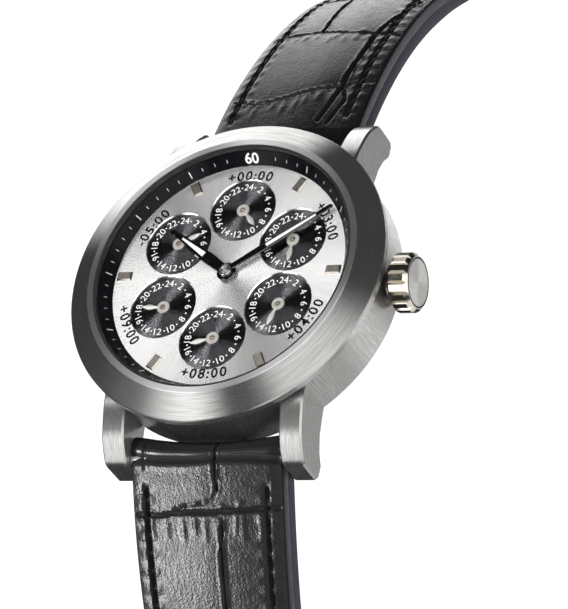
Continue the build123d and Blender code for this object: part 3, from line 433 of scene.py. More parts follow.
def streaks(tree, unit, radius, along, across):
    """Noise in rings or rays: along sets how fast it changes round the axis, across how fast outward."""
    x, y, _ = tree.parts(unit)
    return tree.noise(tree.stretched(tree.joined(x, y, radius), (along, along, across)), 1.0, 4.0)


def metal(tree, colour, streak, rough, anisotropy=0.0, tangent=None, depth=0.0, contrast=0.12):
    """Inputs of a brushed metal whose streaks vary its colour, gloss and relief."""
    inputs = {
        "Base Color": tree.toned(tree.step(streak, 0.25, 0.75), colour, contrast),
        "Metallic": 1.0,
        "Roughness": tree.step(streak, 0.2, 0.8, rough * 1.2, rough * 0.82),
    }
    if tangent is not None:
        inputs["Anisotropic"] = anisotropy
        inputs["Tangent"] = tree.world_direction(tangent)
    if depth:
        inputs["Normal"] = tree.bump(streak, depth)
    return inputs


steel_colour = (0.34, 0.337, 0.33)


def ring_brushed(colour, rough, anisotropy, centre=(0.0, 0.0)):
    """Metal turned in fine rings about an upright axis."""
    def build(tree):
        radius, unit = around(tree, centre)
        streak = streaks(tree, unit, radius, 2.2, 22.0)
        return metal(tree, colour, streak, rough, anisotropy, unit, 0.002 * mm)
    return build


def bezel_steel(tree):
    """Cone, rim and wall brushed in rings, with a polished lip."""
    radius, unit = around(tree)
    made = metal(tree, steel_colour, streaks(tree, unit, radius, 4.0, 14.0), 0.23, 1.0, unit, 0.0, 0.16)
    on_cone = tree.past(radius, bezel_lip_r, 0.03)
    made["Metallic"] = 0.93
    made["Roughness"] = tree.between(on_cone, 0.42, made["Roughness"])
    made["Base Color"] = tree.blend(on_cone, (0.72, 0.715, 0.71), made["Base Color"])
    return made


def case_steel(tree):
    """Band brushed upright, lug tops brushed lengthwise and flanks brushed aslant."""
    place = tree.place()
    radius, unit = around(tree)
    _, y, z = tree.parts(place)
    across_x, _, _ = tree.parts(tree.vector("ABSOLUTE", tree.normal()))
    past_band = tree.step(radius, case_band_r - 0.05, case_band_r + 0.1)
    flank = tree.times(tree.past(across_x, 0.9, 0.04), past_band)
    slant = tree.plus(y, tree.times(z, flank_slope))
    cross_slant = tree.minus(z, tree.times(y, flank_slope))
    flank_lines = tree.noise(tree.stretched(tree.joined(slant, cross_slant, 1.5), (0.5, 16.0, 1.0)), 1.0)
    top_lines = tree.noise(tree.stretched(place, (10.0, 0.5, 0.5)), 1.0, 3.0)
    band_lines = streaks(tree, unit, tree.plus(radius, tree.times(z, 0.05)), 190.0, 9.0)
    streak = tree.between(flank, tree.between(past_band, band_lines, top_lines), flank_lines)
    band_tangent = tree.vector("CROSS_PRODUCT", unit, (0.0, 0.0, 1.0))
    tangent = tree.between(past_band, band_tangent, (1.0, 0.0, 0.0))
    tangent = tree.between(flank, tangent, (0.0, -0.53, 0.85))
    made = metal(tree, steel_colour, streak, 0.28, 0.9, tangent, 0.0, 0.13)
    made["Metallic"] = 0.93
    return made


def sunray_silver(tree):
    """Silvered dial brushed from the centre, with polished bevels round the wells."""
    radius, unit = around(tree)
    streak = streaks(tree, unit, radius, 60.0, 0.12)
    aside = tree.vector("CROSS_PRODUCT", unit, (0.0, 0.0, 1.0))
    tangent = tree.vector("ADD", tree.scaled(aside, cos(dial_twist)), tree.scaled(unit, sin(dial_twist)))
    made = metal(tree, (0.95, 0.945, 0.935), streak, 0.26, 1.0, tangent, 0.0, 0.05)
    _, _, up = tree.parts(tree.normal())
    level = tree.past(up, 0.94, 0.04)
    made["Metallic"] = tree.step(level, 0.0, 1.0, 1.0, 0.8)
    made["Roughness"] = tree.between(level, 0.12, tree.step(streak, 0.2, 0.8, 0.265, 0.25))
    return made


def ringed_black(centre):
    """Black sub-dial cut with fine rings."""
    def build(tree):
        radius, unit = around(tree, centre)
        rings = tree.math("SINE", tree.times(radius, 2 * pi / subdial_ring_pitch))
        return metal(tree, (0.15, 0.15, 0.16), tree.step(rings, -1.0, 1.0), 0.22, 1.0, unit, 0.0, 0.15)
    return build


def crown_steel(tree):
    """Warm polished crown whose outer face is turned, with a dark groove round that face."""
    place = tree.place()
    x, y, z = tree.parts(place)
    flat = tree.joined(0.0, y, tree.minus(z, crown_z))
    radius, unit = tree.vector("LENGTH", flat), tree.vector("NORMALIZE", flat)
    _, unit_y, unit_z = tree.parts(unit)
    rings = tree.noise(tree.stretched(tree.joined(unit_y, unit_z, radius), (1.5, 1.5, 30.0)), 1.0, 3.0)
    on_end = tree.times(tree.past(x, crown_end_x, 0.03), tree.past(radius, crown_end_r, -0.025))
    in_groove = tree.times(
        tree.past(radius, groove_r[0], 0.03), tree.past(radius, groove_r[1], -0.025),
        tree.past(x, groove_x[1], -0.04), tree.past(x, groove_x[0], 0.1),
    )
    made = metal(tree, (0.66, 0.65, 0.63), rings, 0.25, 1.0, unit)
    colour = tree.blend(on_end, (0.56, 0.52, 0.46), made["Base Color"])
    made["Base Color"] = tree.blend(in_groove, colour, (0.02, 0.02, 0.02))
    gloss = tree.step(tree.noise(place, 2.0), 0.2, 0.8, 0.1, 0.17)
    made["Roughness"] = tree.between(on_end, gloss, made["Roughness"])
    made["Anisotropic"] = tree.times(on_end, 0.88)
    return made


def polished(colour, rough):
    """Polished metal with a faint unevenness."""
    return lambda tree: metal(tree, colour, tree.noise(tree.place(), 3.0, 3.0), rough, contrast=0.05)


def leather(tree):
    """Black glazed leather: pebbled grain, dull in its grooves and smooth round the spring bars."""
    place = tree.place()
    _, y, _ = tree.parts(tree.vector("ABSOLUTE", place))
    wobble = tree.noise(place, 0.8)
    pebbles = tree.add("TexVoronoi", {"Vector": place, "Scale": 3.0}, feature="SMOOTH_F1")
    fine = tree.noise(place, 4.6)
    creased = tree.noise(tree.stretched(place, (2.2, 0.7, 0.7)), 1.0)
    height = tree.plus(tree.plus(tree.times(pebbles, -0.6), fine), tree.times(creased, 0.8))
    grained = tree.past(y, rolled_end_y, 0.15)
    sunk = tree.add("Attribute", output="Fac", attribute_name="sunk")
    glaze = tree.between(grained, 0.2, tree.step(wobble, 0.3, 0.7, 0.2, 0.31))
    return {
        "Base Color": tree.blend(fine, (0.003, 0.003, 0.0033), (0.009, 0.009, 0.0095)),
        "Roughness": tree.between(tree.step(sunk, 0.45, 0.95), glaze, 1.0),
        "Specular IOR Level": 0.1,
        "Normal": tree.bump(tree.times(height, grained), 0.036 * mm),
    }


def edge_paint(tree):
    """Smooth dark paint on the strap's cut sides."""
    place = tree.place()
    cloud = tree.noise(place, 1.4, 3.0)
    return {
        "Base Color": tree.blend(cloud, (0.018, 0.0195, 0.026), (0.032, 0.034, 0.043)),
        "Roughness": tree.step(cloud, 0.3, 0.7, 0.38, 0.5),
        "Specular IOR Level": 0.16,
        "Normal": tree.bump(tree.noise(place, 4.0, 3.0), 0.03 * mm, 0.5),
    }


def thread(tree):
    """Waxed black thread, twisted."""
    place = tree.place()
    twist = tree.math("SINE", tree.times(tree.vector("DOT_PRODUCT", place, (1.0, 1.0, 1.0)), 22.0))
    return {
        "Base Color": tree.blend(tree.noise(place, 6.0), (0.002, 0.002, 0.002), (0.005, 0.005, 0.005)),
        "Roughness": 0.5,
        "Specular IOR Level": 0.1,
        "Normal": tree.bump(twist, 0.03 * mm),
    }


def plain(colour, rough, metallic=0.0, scale=1.5, contrast=0.15, depth=0.004 * mm, shine=0.5):
    """Plain finish with a little cloudiness."""
    def build(tree):
        cloud = tree.noise(tree.place(), scale, 4.0)
        return {
            "Base Color": tree.toned(cloud, colour, contrast),
            "Metallic": metallic,
            "Roughness": tree.step(cloud, 0.2, 0.8, rough * 0.9, rough * 1.1),
            "Specular IOR Level": shine,
            "Normal": tree.bump(cloud, depth),
        }
    return build


def gloss_black(tree):
    """Black lacquer."""
    cloud = tree.noise(tree.place(), 1.2)
    return {
        "Base Color": tree.blend(cloud, (0.003, 0.003, 0.004), (0.006, 0.006, 0.008)),
        "Roughness": tree.step(cloud, 0.2, 0.8, 0.14, 0.18),
        "Specular IOR Level": 0.08,
    }


def clear_glass(tree):
    """Clear glass: a thin bright film that covers more at a glance, alike from both its sides."""
    cloud = tree.noise(tree.place(), 0.4, 1.0)
    glance = tree.math("POWER", tree.add("LayerWeight", {"Blend": 0.5}, "Facing"), 5.0)
    return {
        "Base Color": tree.blend(cloud, (0.93, 0.95, 0.97), (1.0, 1.0, 1.0)),
        "Metallic": 1.0,
        "Roughness": 0.02,
        "Alpha": tree.plus(tree.times(glance, 0.5), 0.018),
    }


# Finishes of the record's slots, then those of single pieces
finishes = {
    "brushed_case": case_steel,
    "crystal": clear_glass,
    "gasket": plain((0.012, 0.012, 0.012), 0.5),
    "flange_black": gloss_black,
    "crown_steel": crown_steel,
    "steel": ring_brushed(steel_colour, 0.28, 0.5),
    "buckle_steel": polished((0.7, 0.695, 0.68), 0.16),
    "spacer": plain((0.62, 0.62, 0.6), 0.5),
    "plate_nickel": ring_brushed((0.72, 0.71, 0.67), 0.3, 0.4),
    "wheel_brass": ring_brushed((0.8, 0.62, 0.32), 0.28, 0.5),
    "board": plain((0.02, 0.1, 0.045), 0.45),
    "battery": ring_brushed((0.7, 0.7, 0.7), 0.32, 0.4, battery_centre),
    "coil_copper": plain((0.6, 0.26, 0.12), 0.35, 1.0, 8.0),
    "dial_silver": sunray_silver,
    "subdial_black": plain((0.02, 0.02, 0.022), 0.4, 1.0),
    "marker_steel": polished((0.44, 0.41, 0.36), 0.2),
    "hand_dark": polished((0.1, 0.1, 0.102), 0.16),
    "zone_hand_pale": plain((0.84, 0.82, 0.77), 0.34, 0.6, 4.0, 0.04),
    "strap_leather": leather,
    "bezel_steel": bezel_steel,
    "strap_edge_paint": edge_paint,
    "strap_thread": thread,
    "white_ink": plain((0.86, 0.86, 0.84), 0.5, 0.0, 3.0, 0.03, 0.001 * mm),
    "black_ink": plain((0.004, 0.004, 0.0045), 0.4, 0.0, 3.0, 0.2, 0.001 * mm, 0.1),
    "white_filling": plain((0.82, 0.82, 0.79), 0.6, 0.0, 4.0, 0.04, 0.003 * mm),
    "bright_pin": polished((0.75, 0.74, 0.72), 0.26),
}
materials = {name: make_material(name, build) for name, build in finishes.items()}


def dress_frame():
    """Gives every CAD piece the material of its slot, and the bezel its own."""
    for part in frame["record"]["subparts"]:
        node = frame["nodes"][part["node"]]
        slot = part["material_slot"]
        node.data.materials.clear()
        node.data.materials.append(materials[slot])
    frame["nodes"]["bezel"].data.materials[0] = materials["bezel_steel"]


# Strap
def bend_drop(start, end, radius):
    """Height lost along an arc from one heading to another."""
    return radius * (cos(start) - cos(end))


upper_turn = -upper_bend_length / upper_bend_r
upper_straight = upper_length - upper_bend_length
upper_end = upper_heading + upper_turn
buckle_z = bar_z - bend_drop(upper_heading, upper_end, upper_bend_r) + upper_straight * sin(upper_end)
table_z = buckle_z - buckle_low
lower_turn = -lower_bend_length / lower_bend_r
lower_mid = lower_heading + lower_turn
flare_drop = -bend_drop(lower_mid, 0.0, lower_flare_r)
flare_length = -lower_flare_r * lower_mid
lower_fall = bar_z - bend_drop(lower_heading, lower_mid, lower_bend_r) - flare_drop
lower_fall -= table_z + strap_tail_thick / 2
lower_straight = lower_fall / sin(-lower_mid)
tail_flat = lower_length - lower_bend_length - lower_straight - flare_length
upper_path = ((upper_bend_length, upper_turn), (upper_straight, 0.0))
lower_path = (
    (lower_bend_length, lower_turn), (lower_straight, 0.0), (flare_length, -lower_mid), (tail_flat, 0.0),
)


def on_path(path, heading, distance):
    """Place along a strap path: outward and up from the spring bar, and the heading there."""
    out, up, left = 0.0, 0.0, distance
    for length, turn in path:
        run = min(left, length)
        if turn == 0.0:
            out += run * cos(heading)
            up += run * sin(heading)
        else:
            end = heading + turn * run / length
            radius = -length / turn
            out += radius * (sin(-end) - sin(-heading))
            up -= bend_drop(heading, end, radius)
            heading = end
        left -= run
        if left <= 0:
            break
    return out, up, heading


def eased(start, end, share):
    """Value part of the way from start to end, with a gentle start and finish."""
    share = min(max(share, 0.0), 1.0)
    return start + (end - start) * share * share * (3.0 - 2.0 * share)


def from_line(along, across, start, end):
    """Share along one straight line and the distance from it, for arrays of places."""
    a_s, a_x, b_s, b_x = (value * mm for value in (*start, *end))
    step_s, step_x = b_s - a_s, b_x - a_x
    share = ((along - a_s) * step_s + (across - a_x) * step_x) / (step_s ** 2 + step_x ** 2)
    share = np.clip(share, 0.0, 1.0)
    return share, np.hypot(along - a_s - share * step_s, across - a_x - share * step_x)


class Half:
    """One half of the strap: its path, its width and thickness, and its embossed skin."""

    def __init__(self, side, path, heading, length, end_thick, creases, folds, ridge, pointed):
        self.side = side
        self.path = path
        self.heading = heading
        self.length = length
        self.end_thick = end_thick
        self.creases = creases
        self.folds = folds
        self.ridge = ridge
        self.pointed = pointed

    def width(self, distance):
        wide = eased(strap_width, strap_end_width, distance / strap_taper_length)
        start = self.length - tail_point_length
        if self.pointed and distance > start:
            wide *= float(np.interp((distance - start) / tail_point_length, tail_marks, tail_shares))
        return wide

    def thick(self, distance):
        share = (distance - strap_full_length) / (strap_taper_length - strap_full_length)
        return eased(strap_thick, self.end_thick, share)

    def axes(self, distance):
        """Middle of the strap, its upward direction and its direction along the path."""
        out, up, heading = on_path(self.path, self.heading, max(distance, 0.0))
        middle = np.array((0.0, self.side * (bar_y + out), bar_z + up))
        rise = np.array((0.0, -self.side * sin(heading), cos(heading)))
        along = np.array((0.0, self.side * cos(heading), sin(heading)))
        return middle, rise, along

    def relief(self, distance, x):
        """Height of the embossed creases and folds, for arrays of places."""
        height = np.zeros_like(x)
        wander = wander_reach * np.sin(distance / wander_pitch + 2.0 * np.sin(x / wander_sway))
        for line, depth_share, width_share in self.creases:
            runs = zip(line, line[1:])
            away = np.minimum.reduce([from_line(distance + wander, x + wander, *run)[1] for run in runs])
            near = away / (crease_width * width_share)
            height -= depth_share * crease_depth * np.exp(-near ** 2 * 1.6)
            height += depth_share * crease_lip * np.exp(-((near - 2.3) / 0.8) ** 2)
            height -= depth_share * pillow_depth * np.exp(-away / pillow_width)
        for start, end, depth_share, width in self.folds:
            share, away = from_line(distance, x, start, end)
            fade = np.clip(1.0 - np.abs(2 * share - 1.0), 0.0, 1.0)
            height += fold_depth * depth_share * np.exp(-(away / width) ** 2) * fade ** 0.6
        return height

    def skin(self, distance, x, wide):
        """Height of the top over the strap's middle plane."""
        edge = wide / 2 - np.abs(x)
        height = self.thick(max(distance, 0.0)) / 2 - pad_drop * np.clip(1.0 - edge / pad_edge, 0, 1) ** 2
        height = height - ridge_drop * (np.hypot(x - self.ridge, ridge_round) - ridge_round) / (wide / 2)
        corner = np.clip(edge_round - edge, 0.0, edge_round)
        return height - edge_round + np.sqrt(edge_round ** 2 - corner ** 2) + self.sunk(distance, x, wide)

    def sunk(self, distance, x, wide):
        """What the creases, folds and stitch channels add to the top's height, mostly less than nothing."""
        edge = wide / 2 - np.abs(x)
        fade = np.clip(edge / relief_edge, 0.0, 1.0)
        return self.relief(np.full_like(x, distance), x) * fade + self.channel(distance, edge)

    def channel(self, distance, edge):
        """Groove that the edge stitching lies in, and the dimple between two stitches."""
        if distance < stitch_start or distance > self.stitch_end():
            return 0.0
        share = min(1.0, (distance - stitch_start) / mm, (self.stitch_end() - distance) / mm)
        away = np.abs(edge - stitch_inset)
        beat = cos(2 * pi * (distance - stitch_start) / stitch_pitch)
        pucker = pucker_height * beat * np.exp(-((away - pucker_away) / pucker_width) ** 2)
        return share * (pucker - stitch_channel_depth * np.exp(-(away / stitch_channel) ** 4))

    def stitch_end(self):
        return self.length - (tail_point_length if self.pointed else stitch_stop)


def tile_creases(start, end, pitch):
    """Creases of the tiles that the photograph doesn't show: cross creases and staggered long ones."""
    half_width = 9.0
    lines = []
    place, row = start, 0
    while place < end - 3.0:
        shares = (-1.0, -0.5, 0.0, 0.5, 1.0)
        bends = tuple((place + chance.uniform(-0.6, 0.6), share * half_width) for share in shares)
        lines.append((bends, 0.9, 1.0))
        following = min(place + pitch * chance.uniform(0.9, 1.1), end)
        for share in ((-0.25, 0.62) if row % 2 else (0.15, -0.6)):
            across = share * half_width
            shifted = across + chance.uniform(-0.8, 0.8)
            middle = ((place + following) / 2, (across + shifted) / 2)
            lines.append((((place + 0.4, across), middle, (following - 0.3, shifted)), 0.9, 1.0))
        place = following
        row += 1
    return lines


def beside(line, count, reach, side):
    """Short folds that run out of a cross crease along the strap, to one side of it."""
    folds = []
    places, across = zip(*line)
    for index in range(count):
        x = across[0] + (across[-1] - across[0]) * (index + chance.uniform(0.2, 0.8)) / count
        s = float(np.interp(x, across, places))
        length = reach * chance.uniform(0.5, 1.0)
        end = (s + side * length, x + chance.uniform(-0.25, 0.35))
        folds.append(((s + side * 0.25, x), end, chance.uniform(0.5, 1.1), chance.uniform(0.28, 0.45) * mm))
    return folds


# Creases that the photograph shows: places along and across the strap, shares of depth and width
upper_cross_1 = ((6.9, -8.6), (6.3, -4.2), (7.0, -0.7), (8.1, 2.7), (8.8, 5.6))
upper_cross_2 = ((21.2, -8.4), (21.7, -3.0), (20.9, 1.6), (20.6, 6.0))
lower_cross_1 = ((6.2, -9.6), (6.4, -5.8), (6.1, -1.6), (5.8, 2.1), (5.6, 6.6), (5.7, 9.6))
upper_creases = [
    (upper_cross_1, 1.0, 1.0),
    (upper_cross_2, 1.0, 0.9),
    (((8.8, 5.6), (14.1, 5.75), (20.0, 5.9)), 1.1, 1.2),
    (((21.8, -2.1), (26.4, -2.2), (33.0, -2.8)), 1.0, 1.0),
    (((20.6, 6.0), (25.0, 6.9), (30.0, 8.0)), 1.1, 1.1),
    (((8.8, 5.6), (5.0, 4.95), (2.3, 4.4)), 0.8, 1.1),
    (((8.8, 5.6), (5.9, 6.75), (1.9, 5.85)), 0.7, 1.0),
    (((8.8, 5.6), (9.6, 9.6)), 0.6, 1.0),
    (((20.6, 6.0), (19.8, 9.6)), 0.6, 1.0),
] + tile_creases(34.0, 74.0, 14.0)
lower_creases = [
    (lower_cross_1, 1.0, 1.05),
    (((-3.0, 1.5), (0.9, 1.5), (3.4, 1.6)), 1.0, 1.0),
    (((3.4, 1.6), (4.5, 1.1), (5.1, -0.6), (5.4, -3.0)), 0.45, 0.7),
    (((6.9, 2.1), (10.0, 2.0), (13.7, 1.85), (20.0, 1.5)), 1.0, 1.0),
    (((-2.5, -7.9), (1.2, -7.9)), 0.5, 0.8),
    (((-0.15, -9.8), (-0.15, 9.8)), 0.8, 2.4),
] + tile_creases(20.5, 104.0, 14.5)
upper_folds = (
    beside(upper_cross_1, 9, 3.6, -1) + beside(upper_cross_2, 10, 3.0, -1) + beside(upper_cross_2, 4, 1.2, 1)
)
lower_folds = beside(lower_cross_1, 11, 3.8, 1) + beside(lower_cross_1, 6, 1.4, -1)
upper_half = Half(
    1, upper_path, upper_heading, upper_length, strap_end_thick,
    upper_creases, upper_folds, upper_ridge_x, False,
)
lower_half = Half(
    -1, lower_path, lower_heading, lower_length, strap_tail_thick,
    lower_creases, lower_folds, lower_ridge_x, True,
)


def strap_rows(half):
    """Rows of the skin from the far end of the top, round the spring bar and back along the lining."""
    count = ceil(half.length / row_step)
    marks = [half.length * index / count for index in range(count + 1)]
    turns = [pi * (index + 1) / fold_rows for index in range(fold_rows - 1)]
    rows = [("top", mark) for mark in reversed(marks)]
    rows += [("near", turn) for turn in turns]
    rows += [("lining", mark) for mark in marks]
    if not half.pointed:
        rows += [("far", turn) for turn in turns]
    return rows


def strap_shares():
    """Shares of the half width at which the skin has columns, closer together at the rounded edges."""
    count = int(strap_width / column_step)
    inner = 1.0 - 1.1 * edge_round / (strap_width / 2)
    middle = [inner * (2.0 * index / count - 1.0) for index in range(count + 1)]
    near_edge = [1.0 - share * (1.0 - inner) for share in (0.6, 0.3, 0.08, 0.0)]
    return np.array([-share for share in reversed(near_edge)] + middle + near_edge)


def row_points(half, kind, mark, shares):
    """Points of one row of the strap's skin."""
    place = {"near": 0.0, "far": half.length}.get(kind, mark)
    wide = half.width(place)
    middle, rise, along = half.axes(place)
    x = shares * wide / 2
    round_r = half.thick(place) / 2
    if kind == "top":
        offset = half.skin(mark, x, wide)[:, None] * rise
    elif kind == "lining":
        offset = -round_r * rise
    else:
        near = kind == "near"
        angle = mark if near else pi - mark
        reach = half.skin(-round_r * angle if near else place, x, wide)
        radius = reach + (round_r - reach) * angle / pi
        outward = -along if near else along
        offset = radius[:, None] * (cos(angle) * rise + sin(angle) * outward)
        if near:
            offset = offset + (end_curve * sin(angle) * shares ** 2)[:, None] * outward
    return np.outer(x, east) + middle + offset


def strap_mesh(half, name):
    """Closed skin of one strap half: top, lining, folded ends and seamed sides."""
    rows, shares = strap_rows(half), strap_shares()
    columns = len(shares)
    flat = np.concatenate([row_points(half, kind, mark, shares) for kind, mark in rows])
    faces = grid(len(rows), columns, not half.pointed, False)
    side_points, side_faces = side_walls(half, rows, flat, columns)
    made = make_mesh(name, np.concatenate([flat, side_points]), faces + side_faces)
    made.data.materials.append(materials["strap_leather"])
    made.data.materials.append(materials["strap_edge_paint"])
    for polygon in made.data.polygons[len(faces):]:
        polygon.material_index = 1
    shade(made, 50.0)
    mark_sunk(made, half, rows, shares)
    return made


def mark_sunk(made, half, rows, shares):
    """Stores how deep each point lies in a groove, for the leather's finish."""
    depth = np.zeros(len(made.data.vertices), np.float32)
    for row, (kind, mark) in enumerate(rows):
        if kind in ("top", "near"):
            distance = mark if kind == "top" else -half.thick(0.0) / 2 * mark
            wide = half.width(max(distance, 0.0))
            start = row * len(shares)
            depth[start:start + len(shares)] = -half.sunk(distance, shares * wide / 2, wide) / sunk_full
    layer = made.data.attributes.new("sunk", "FLOAT", "POINT")
    layer.data.foreach_set("value", depth)


def side_walls(half, rows, flat, columns):
    """Side strips between the skin's edge on top and on the lining, with a fine seam along them."""
    kinds = [kind for kind, _ in rows]
    tops, linings, nears, fars = (
        [index for index, kind in enumerate(kinds) if kind == wanted]
        for wanted in ("top", "lining", "near", "far")
    )
    pairs = [(fars[-1 - index], fars[index]) for index in reversed(range(len(fars) // 2))]
    pairs += zip(tops, reversed(linings))
    pairs += [(nears[index], nears[-1 - index]) for index in range(len(nears) // 2)]
    side_points, side_faces = [], []
    for column, outward in ((0, -1.0), (columns - 1, 1.0)):
        strips = []
        for top_row, low_row in pairs:
            top_index, low_index = top_row * columns + column, low_row * columns + column
            top, low = flat[top_index], flat[low_index]
            first = len(flat) + len(side_points)
            for share in side_shares:
                sunk = seam_depth if share == seam_share else 0.0
                side_points.append(top + (low - top) * share - outward * sunk * east)
            strips.append((top_index, *range(first, first + len(side_shares)), low_index))
        for one, two in zip(strips, strips[1:]):
            for index in range(len(one) - 1):
                face = (one[index], one[index + 1], two[index + 1], two[index])
                side_faces.append(face if outward > 0 else face[::-1])
        for strip, turns in ((strips[-1], nears), (strips[0], fars)):
            if turns:
                side_faces.append((*strip, turns[len(turns) // 2] * columns + column))
    if half.pointed:
        last = (len(rows) - 1) * columns
        side_faces += [(index, last + index, last + index + 1, index + 1) for index in range(columns - 1)]
    return side_points, side_faces


def cut_through(made, cutters):
    """Takes the cutters' forms out of a piece."""
    cutter = cutters.build("cutter")
    change = made.modifiers.new("cut", "BOOLEAN")
    change.operation = "DIFFERENCE"
    change.object = cutter
    change.solver = "EXACT"
    graph = bpy.context.evaluated_depsgraph_get()
    mesh = bpy.data.meshes.new_from_object(made.evaluated_get(graph))
    made.modifiers.clear()
    made.data = mesh
    bpy.data.objects.remove(cutter)


def pierce(cutters, half, distance, ring):
    """Adds a cutter through the strap: a ring of places across and along it, clockwise from above."""
    middle, rise, along = half.axes(distance)
    points = [
        middle + level * strap_thick * rise + x * east + reach * along
        for level in (-1.0, 1.0) for x, reach in ring
    ]
    count = len(ring)
    ends = [tuple(range(count)), tuple(reversed(range(count, 2 * count)))]
    cutters.add(points, ends + grid(2, count, flip=True))


def tail_holes():
    """Round cutters for the tail's row of holes."""
    cutters = Parts()
    for index in range(tail_hole_count):
        distance = lower_length - tail_hole_first - index * tail_hole_pitch
        pierce(cutters, lower_half, distance, circle(tail_hole_r, tail_hole_sides))
    return cutters


def tongue_slot():
    """Cutter for the slot that the buckle's tongue passes through."""
    cutters = Parts()
    x, reach = tongue_slot_width / 2, tongue_slot_length
    pierce(cutters, upper_half, upper_length, ((-x, -reach), (-x, reach), (x, reach), (x, -reach)))
    return cutters


def stitches(half):
    """Thread stitches sunk in the channels along both edges."""
    sewn = Parts()
    for index in range(int((half.stitch_end() - stitch_start) / stitch_pitch)):
        distance = stitch_start + (index + 0.5) * stitch_pitch
        middle, rise, along = half.axes(distance)
        wide = half.width(distance)
        for side in (-1, 1):
            x = side * (wide / 2 - stitch_inset)
            top = float(half.skin(distance, np.array([x]), wide)[0])
            lean = stitch_lean * side + chance.uniform(-0.05, 0.05)
            heading = along * cos(lean) + sin(lean) * east
            sewn.add(*capsule(middle + x * east + (top + 0.3 * stitch_r) * rise, heading, rise))
    return sewn


def capsule(origin, along, up):
    """One stitch: a thick middle with ends that dive into the leather."""
    aside = np.cross(up, along)
    rings, sides = 9, 8
    points = []
    for ring in range(rings):
        share = 2.0 * ring / (rings - 1) - 1.0
        radius = stitch_r * sqrt(max(1.0 - abs(share) ** 3.2, 0.004))
        sink = 1.5 * stitch_r * abs(share) ** 3
        centre = origin + along * share * stitch_length / 2 - up * sink
        points += [centre + radius * (1.15 * x * aside + 0.9 * y * up) for x, y in circle(1.0, sides)]
    ends = [tuple(reversed(range(sides))), tuple(range((rings - 1) * sides, rings * sides))]
    return points, grid(rings, sides) + ends


def keeper(name, distance, extra):
    """Leather loop with rounded corners and edges."""
    middle, rise, along = upper_half.axes(distance)
    radius = keeper_wall * 0.9
    across = strap_end_width / 2 + extra - radius * 0.4
    low = -strap_end_thick / 2 - extra + 0.4 * radius
    high = strap_end_thick / 2 + keeper_room - 0.4 * radius
    section = keeper_profile + [(share, -thick) for share, thick in reversed(keeper_profile[1:-1])]
    points = []
    for x, z, start in ((across, high, 0.0), (-across, high, 0.5), (-across, low, 1.0), (across, low, 1.5)):
        for step in range(keeper_corner_steps + 1):
            angle = pi * (start + 0.5 * step / keeper_corner_steps)
            for share, thick in section:
                reach = 0.4 * radius + (0.5 + thick) * keeper_wall
                place = (x + reach * cos(angle)) * east + (z + reach * sin(angle)) * rise
                points.append(middle + place + share * keeper_width / 2 * along)
    return make_mesh(name, points, grid(len(points) // len(section), len(section), True))


def make_strap():
    """Both strap halves with their stitching, and the two keepers."""
    halves = (upper_half, "strap_upper", tongue_slot()), (lower_half, "strap_lower", tail_holes())
    for half, name, cutters in halves:
        made = strap_mesh(half, name + "_skin")
        cut_through(made, cutters)
        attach(made, name)
        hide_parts(name)
        stitches(half).piece(name + "_stitches", name, "strap_leather", "strap_thread", 180.0)
    for name, distance, extra, body in (
        ("keeper_fixed", keeper_fixed_s, 0.0, "strap_upper"),
        ("keeper_free", keeper_free_s, keeper_gap, "keeper"),
    ):
        made = keeper(name + "_loop", distance, extra)
        place_piece(made, body, "strap_leather", "strap_leather", 40.0)
        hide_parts(name)


# Printed marks
glyph_store = {}


def glyph(text, weight):
    """Flat mesh of a text: points and faces."""
    if (text, weight) not in glyph_store:
        data = bpy.data.curves.new("glyph", "FONT")
        data.body = text
        data.align_x = "CENTER"
        data.resolution_u = 4
        data.offset = weight
        made = link("glyph", data)
        graph = bpy.context.evaluated_depsgraph_get()
        graph.update()
        mesh = bpy.data.meshes.new_from_object(made.evaluated_get(graph))
        points = np.array([vertex.co[:2] for vertex in mesh.vertices])
        faces = [tuple(polygon.vertices) for polygon in mesh.polygons]
        bpy.data.objects.remove(made)
        glyph_store[text, weight] = (points, faces)
    return glyph_store[text, weight]


def glyph_scale(height):
    """What a glyph is multiplied by, so that its numerals have this height."""
    return height / float(np.ptp(glyph("0", 0.0)[0][:, 1]))


def print_text(parts, text, centre, height, turn, level, weight):
    """Adds a text to the parts: centred at a point, turned by an angle, on a level."""
    points, faces = glyph(text, weight)
    zero, _ = glyph("0", weight)
    middle = (points.min(0) + points.max(0)) / 2
    middle[1] = (zero[:, 1].min() + zero[:, 1].max()) / 2
    flat = (points - middle) * glyph_scale(height)
    x = centre[0] + flat[:, 0] * cos(turn) - flat[:, 1] * sin(turn)
    y = centre[1] + flat[:, 0] * sin(turn) + flat[:, 1] * cos(turn)
    parts.add([(a, b, level) for a, b in zip(x, y)], faces)


def print_round(parts, text, clockwise, level, upright):
    """Adds an offset bent round the dial's centre, its tops outward or, where upright is false, inward."""
    spacing = letter_gap * offset_height
    scale = glyph_scale(offset_height)
    widths = [float(np.ptp(glyph(letter, letter_weight)[0][:, 0])) * scale for letter in text]
    place = -(sum(widths) + spacing * (len(text) - 1)) / 2
    way = 1 if upright else -1
    for letter, width in zip(text, widths):
        angle = radians(90.0 - clockwise) - way * (place + width / 2) / offset_ring_r
        centre = (offset_ring_r * cos(angle), offset_ring_r * sin(angle))
        print_text(parts, letter, centre, offset_height, angle - way * pi / 2, level, letter_weight)
        place += width + spacing


def subdial_place(name):
    """Centre of a sub-dial, its top and its radius."""
    low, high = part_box("subdial_" + name)
    return (low.x + high.x) / 2, (low.y + high.y) / 2, high.z, (high.x - low.x) / 2


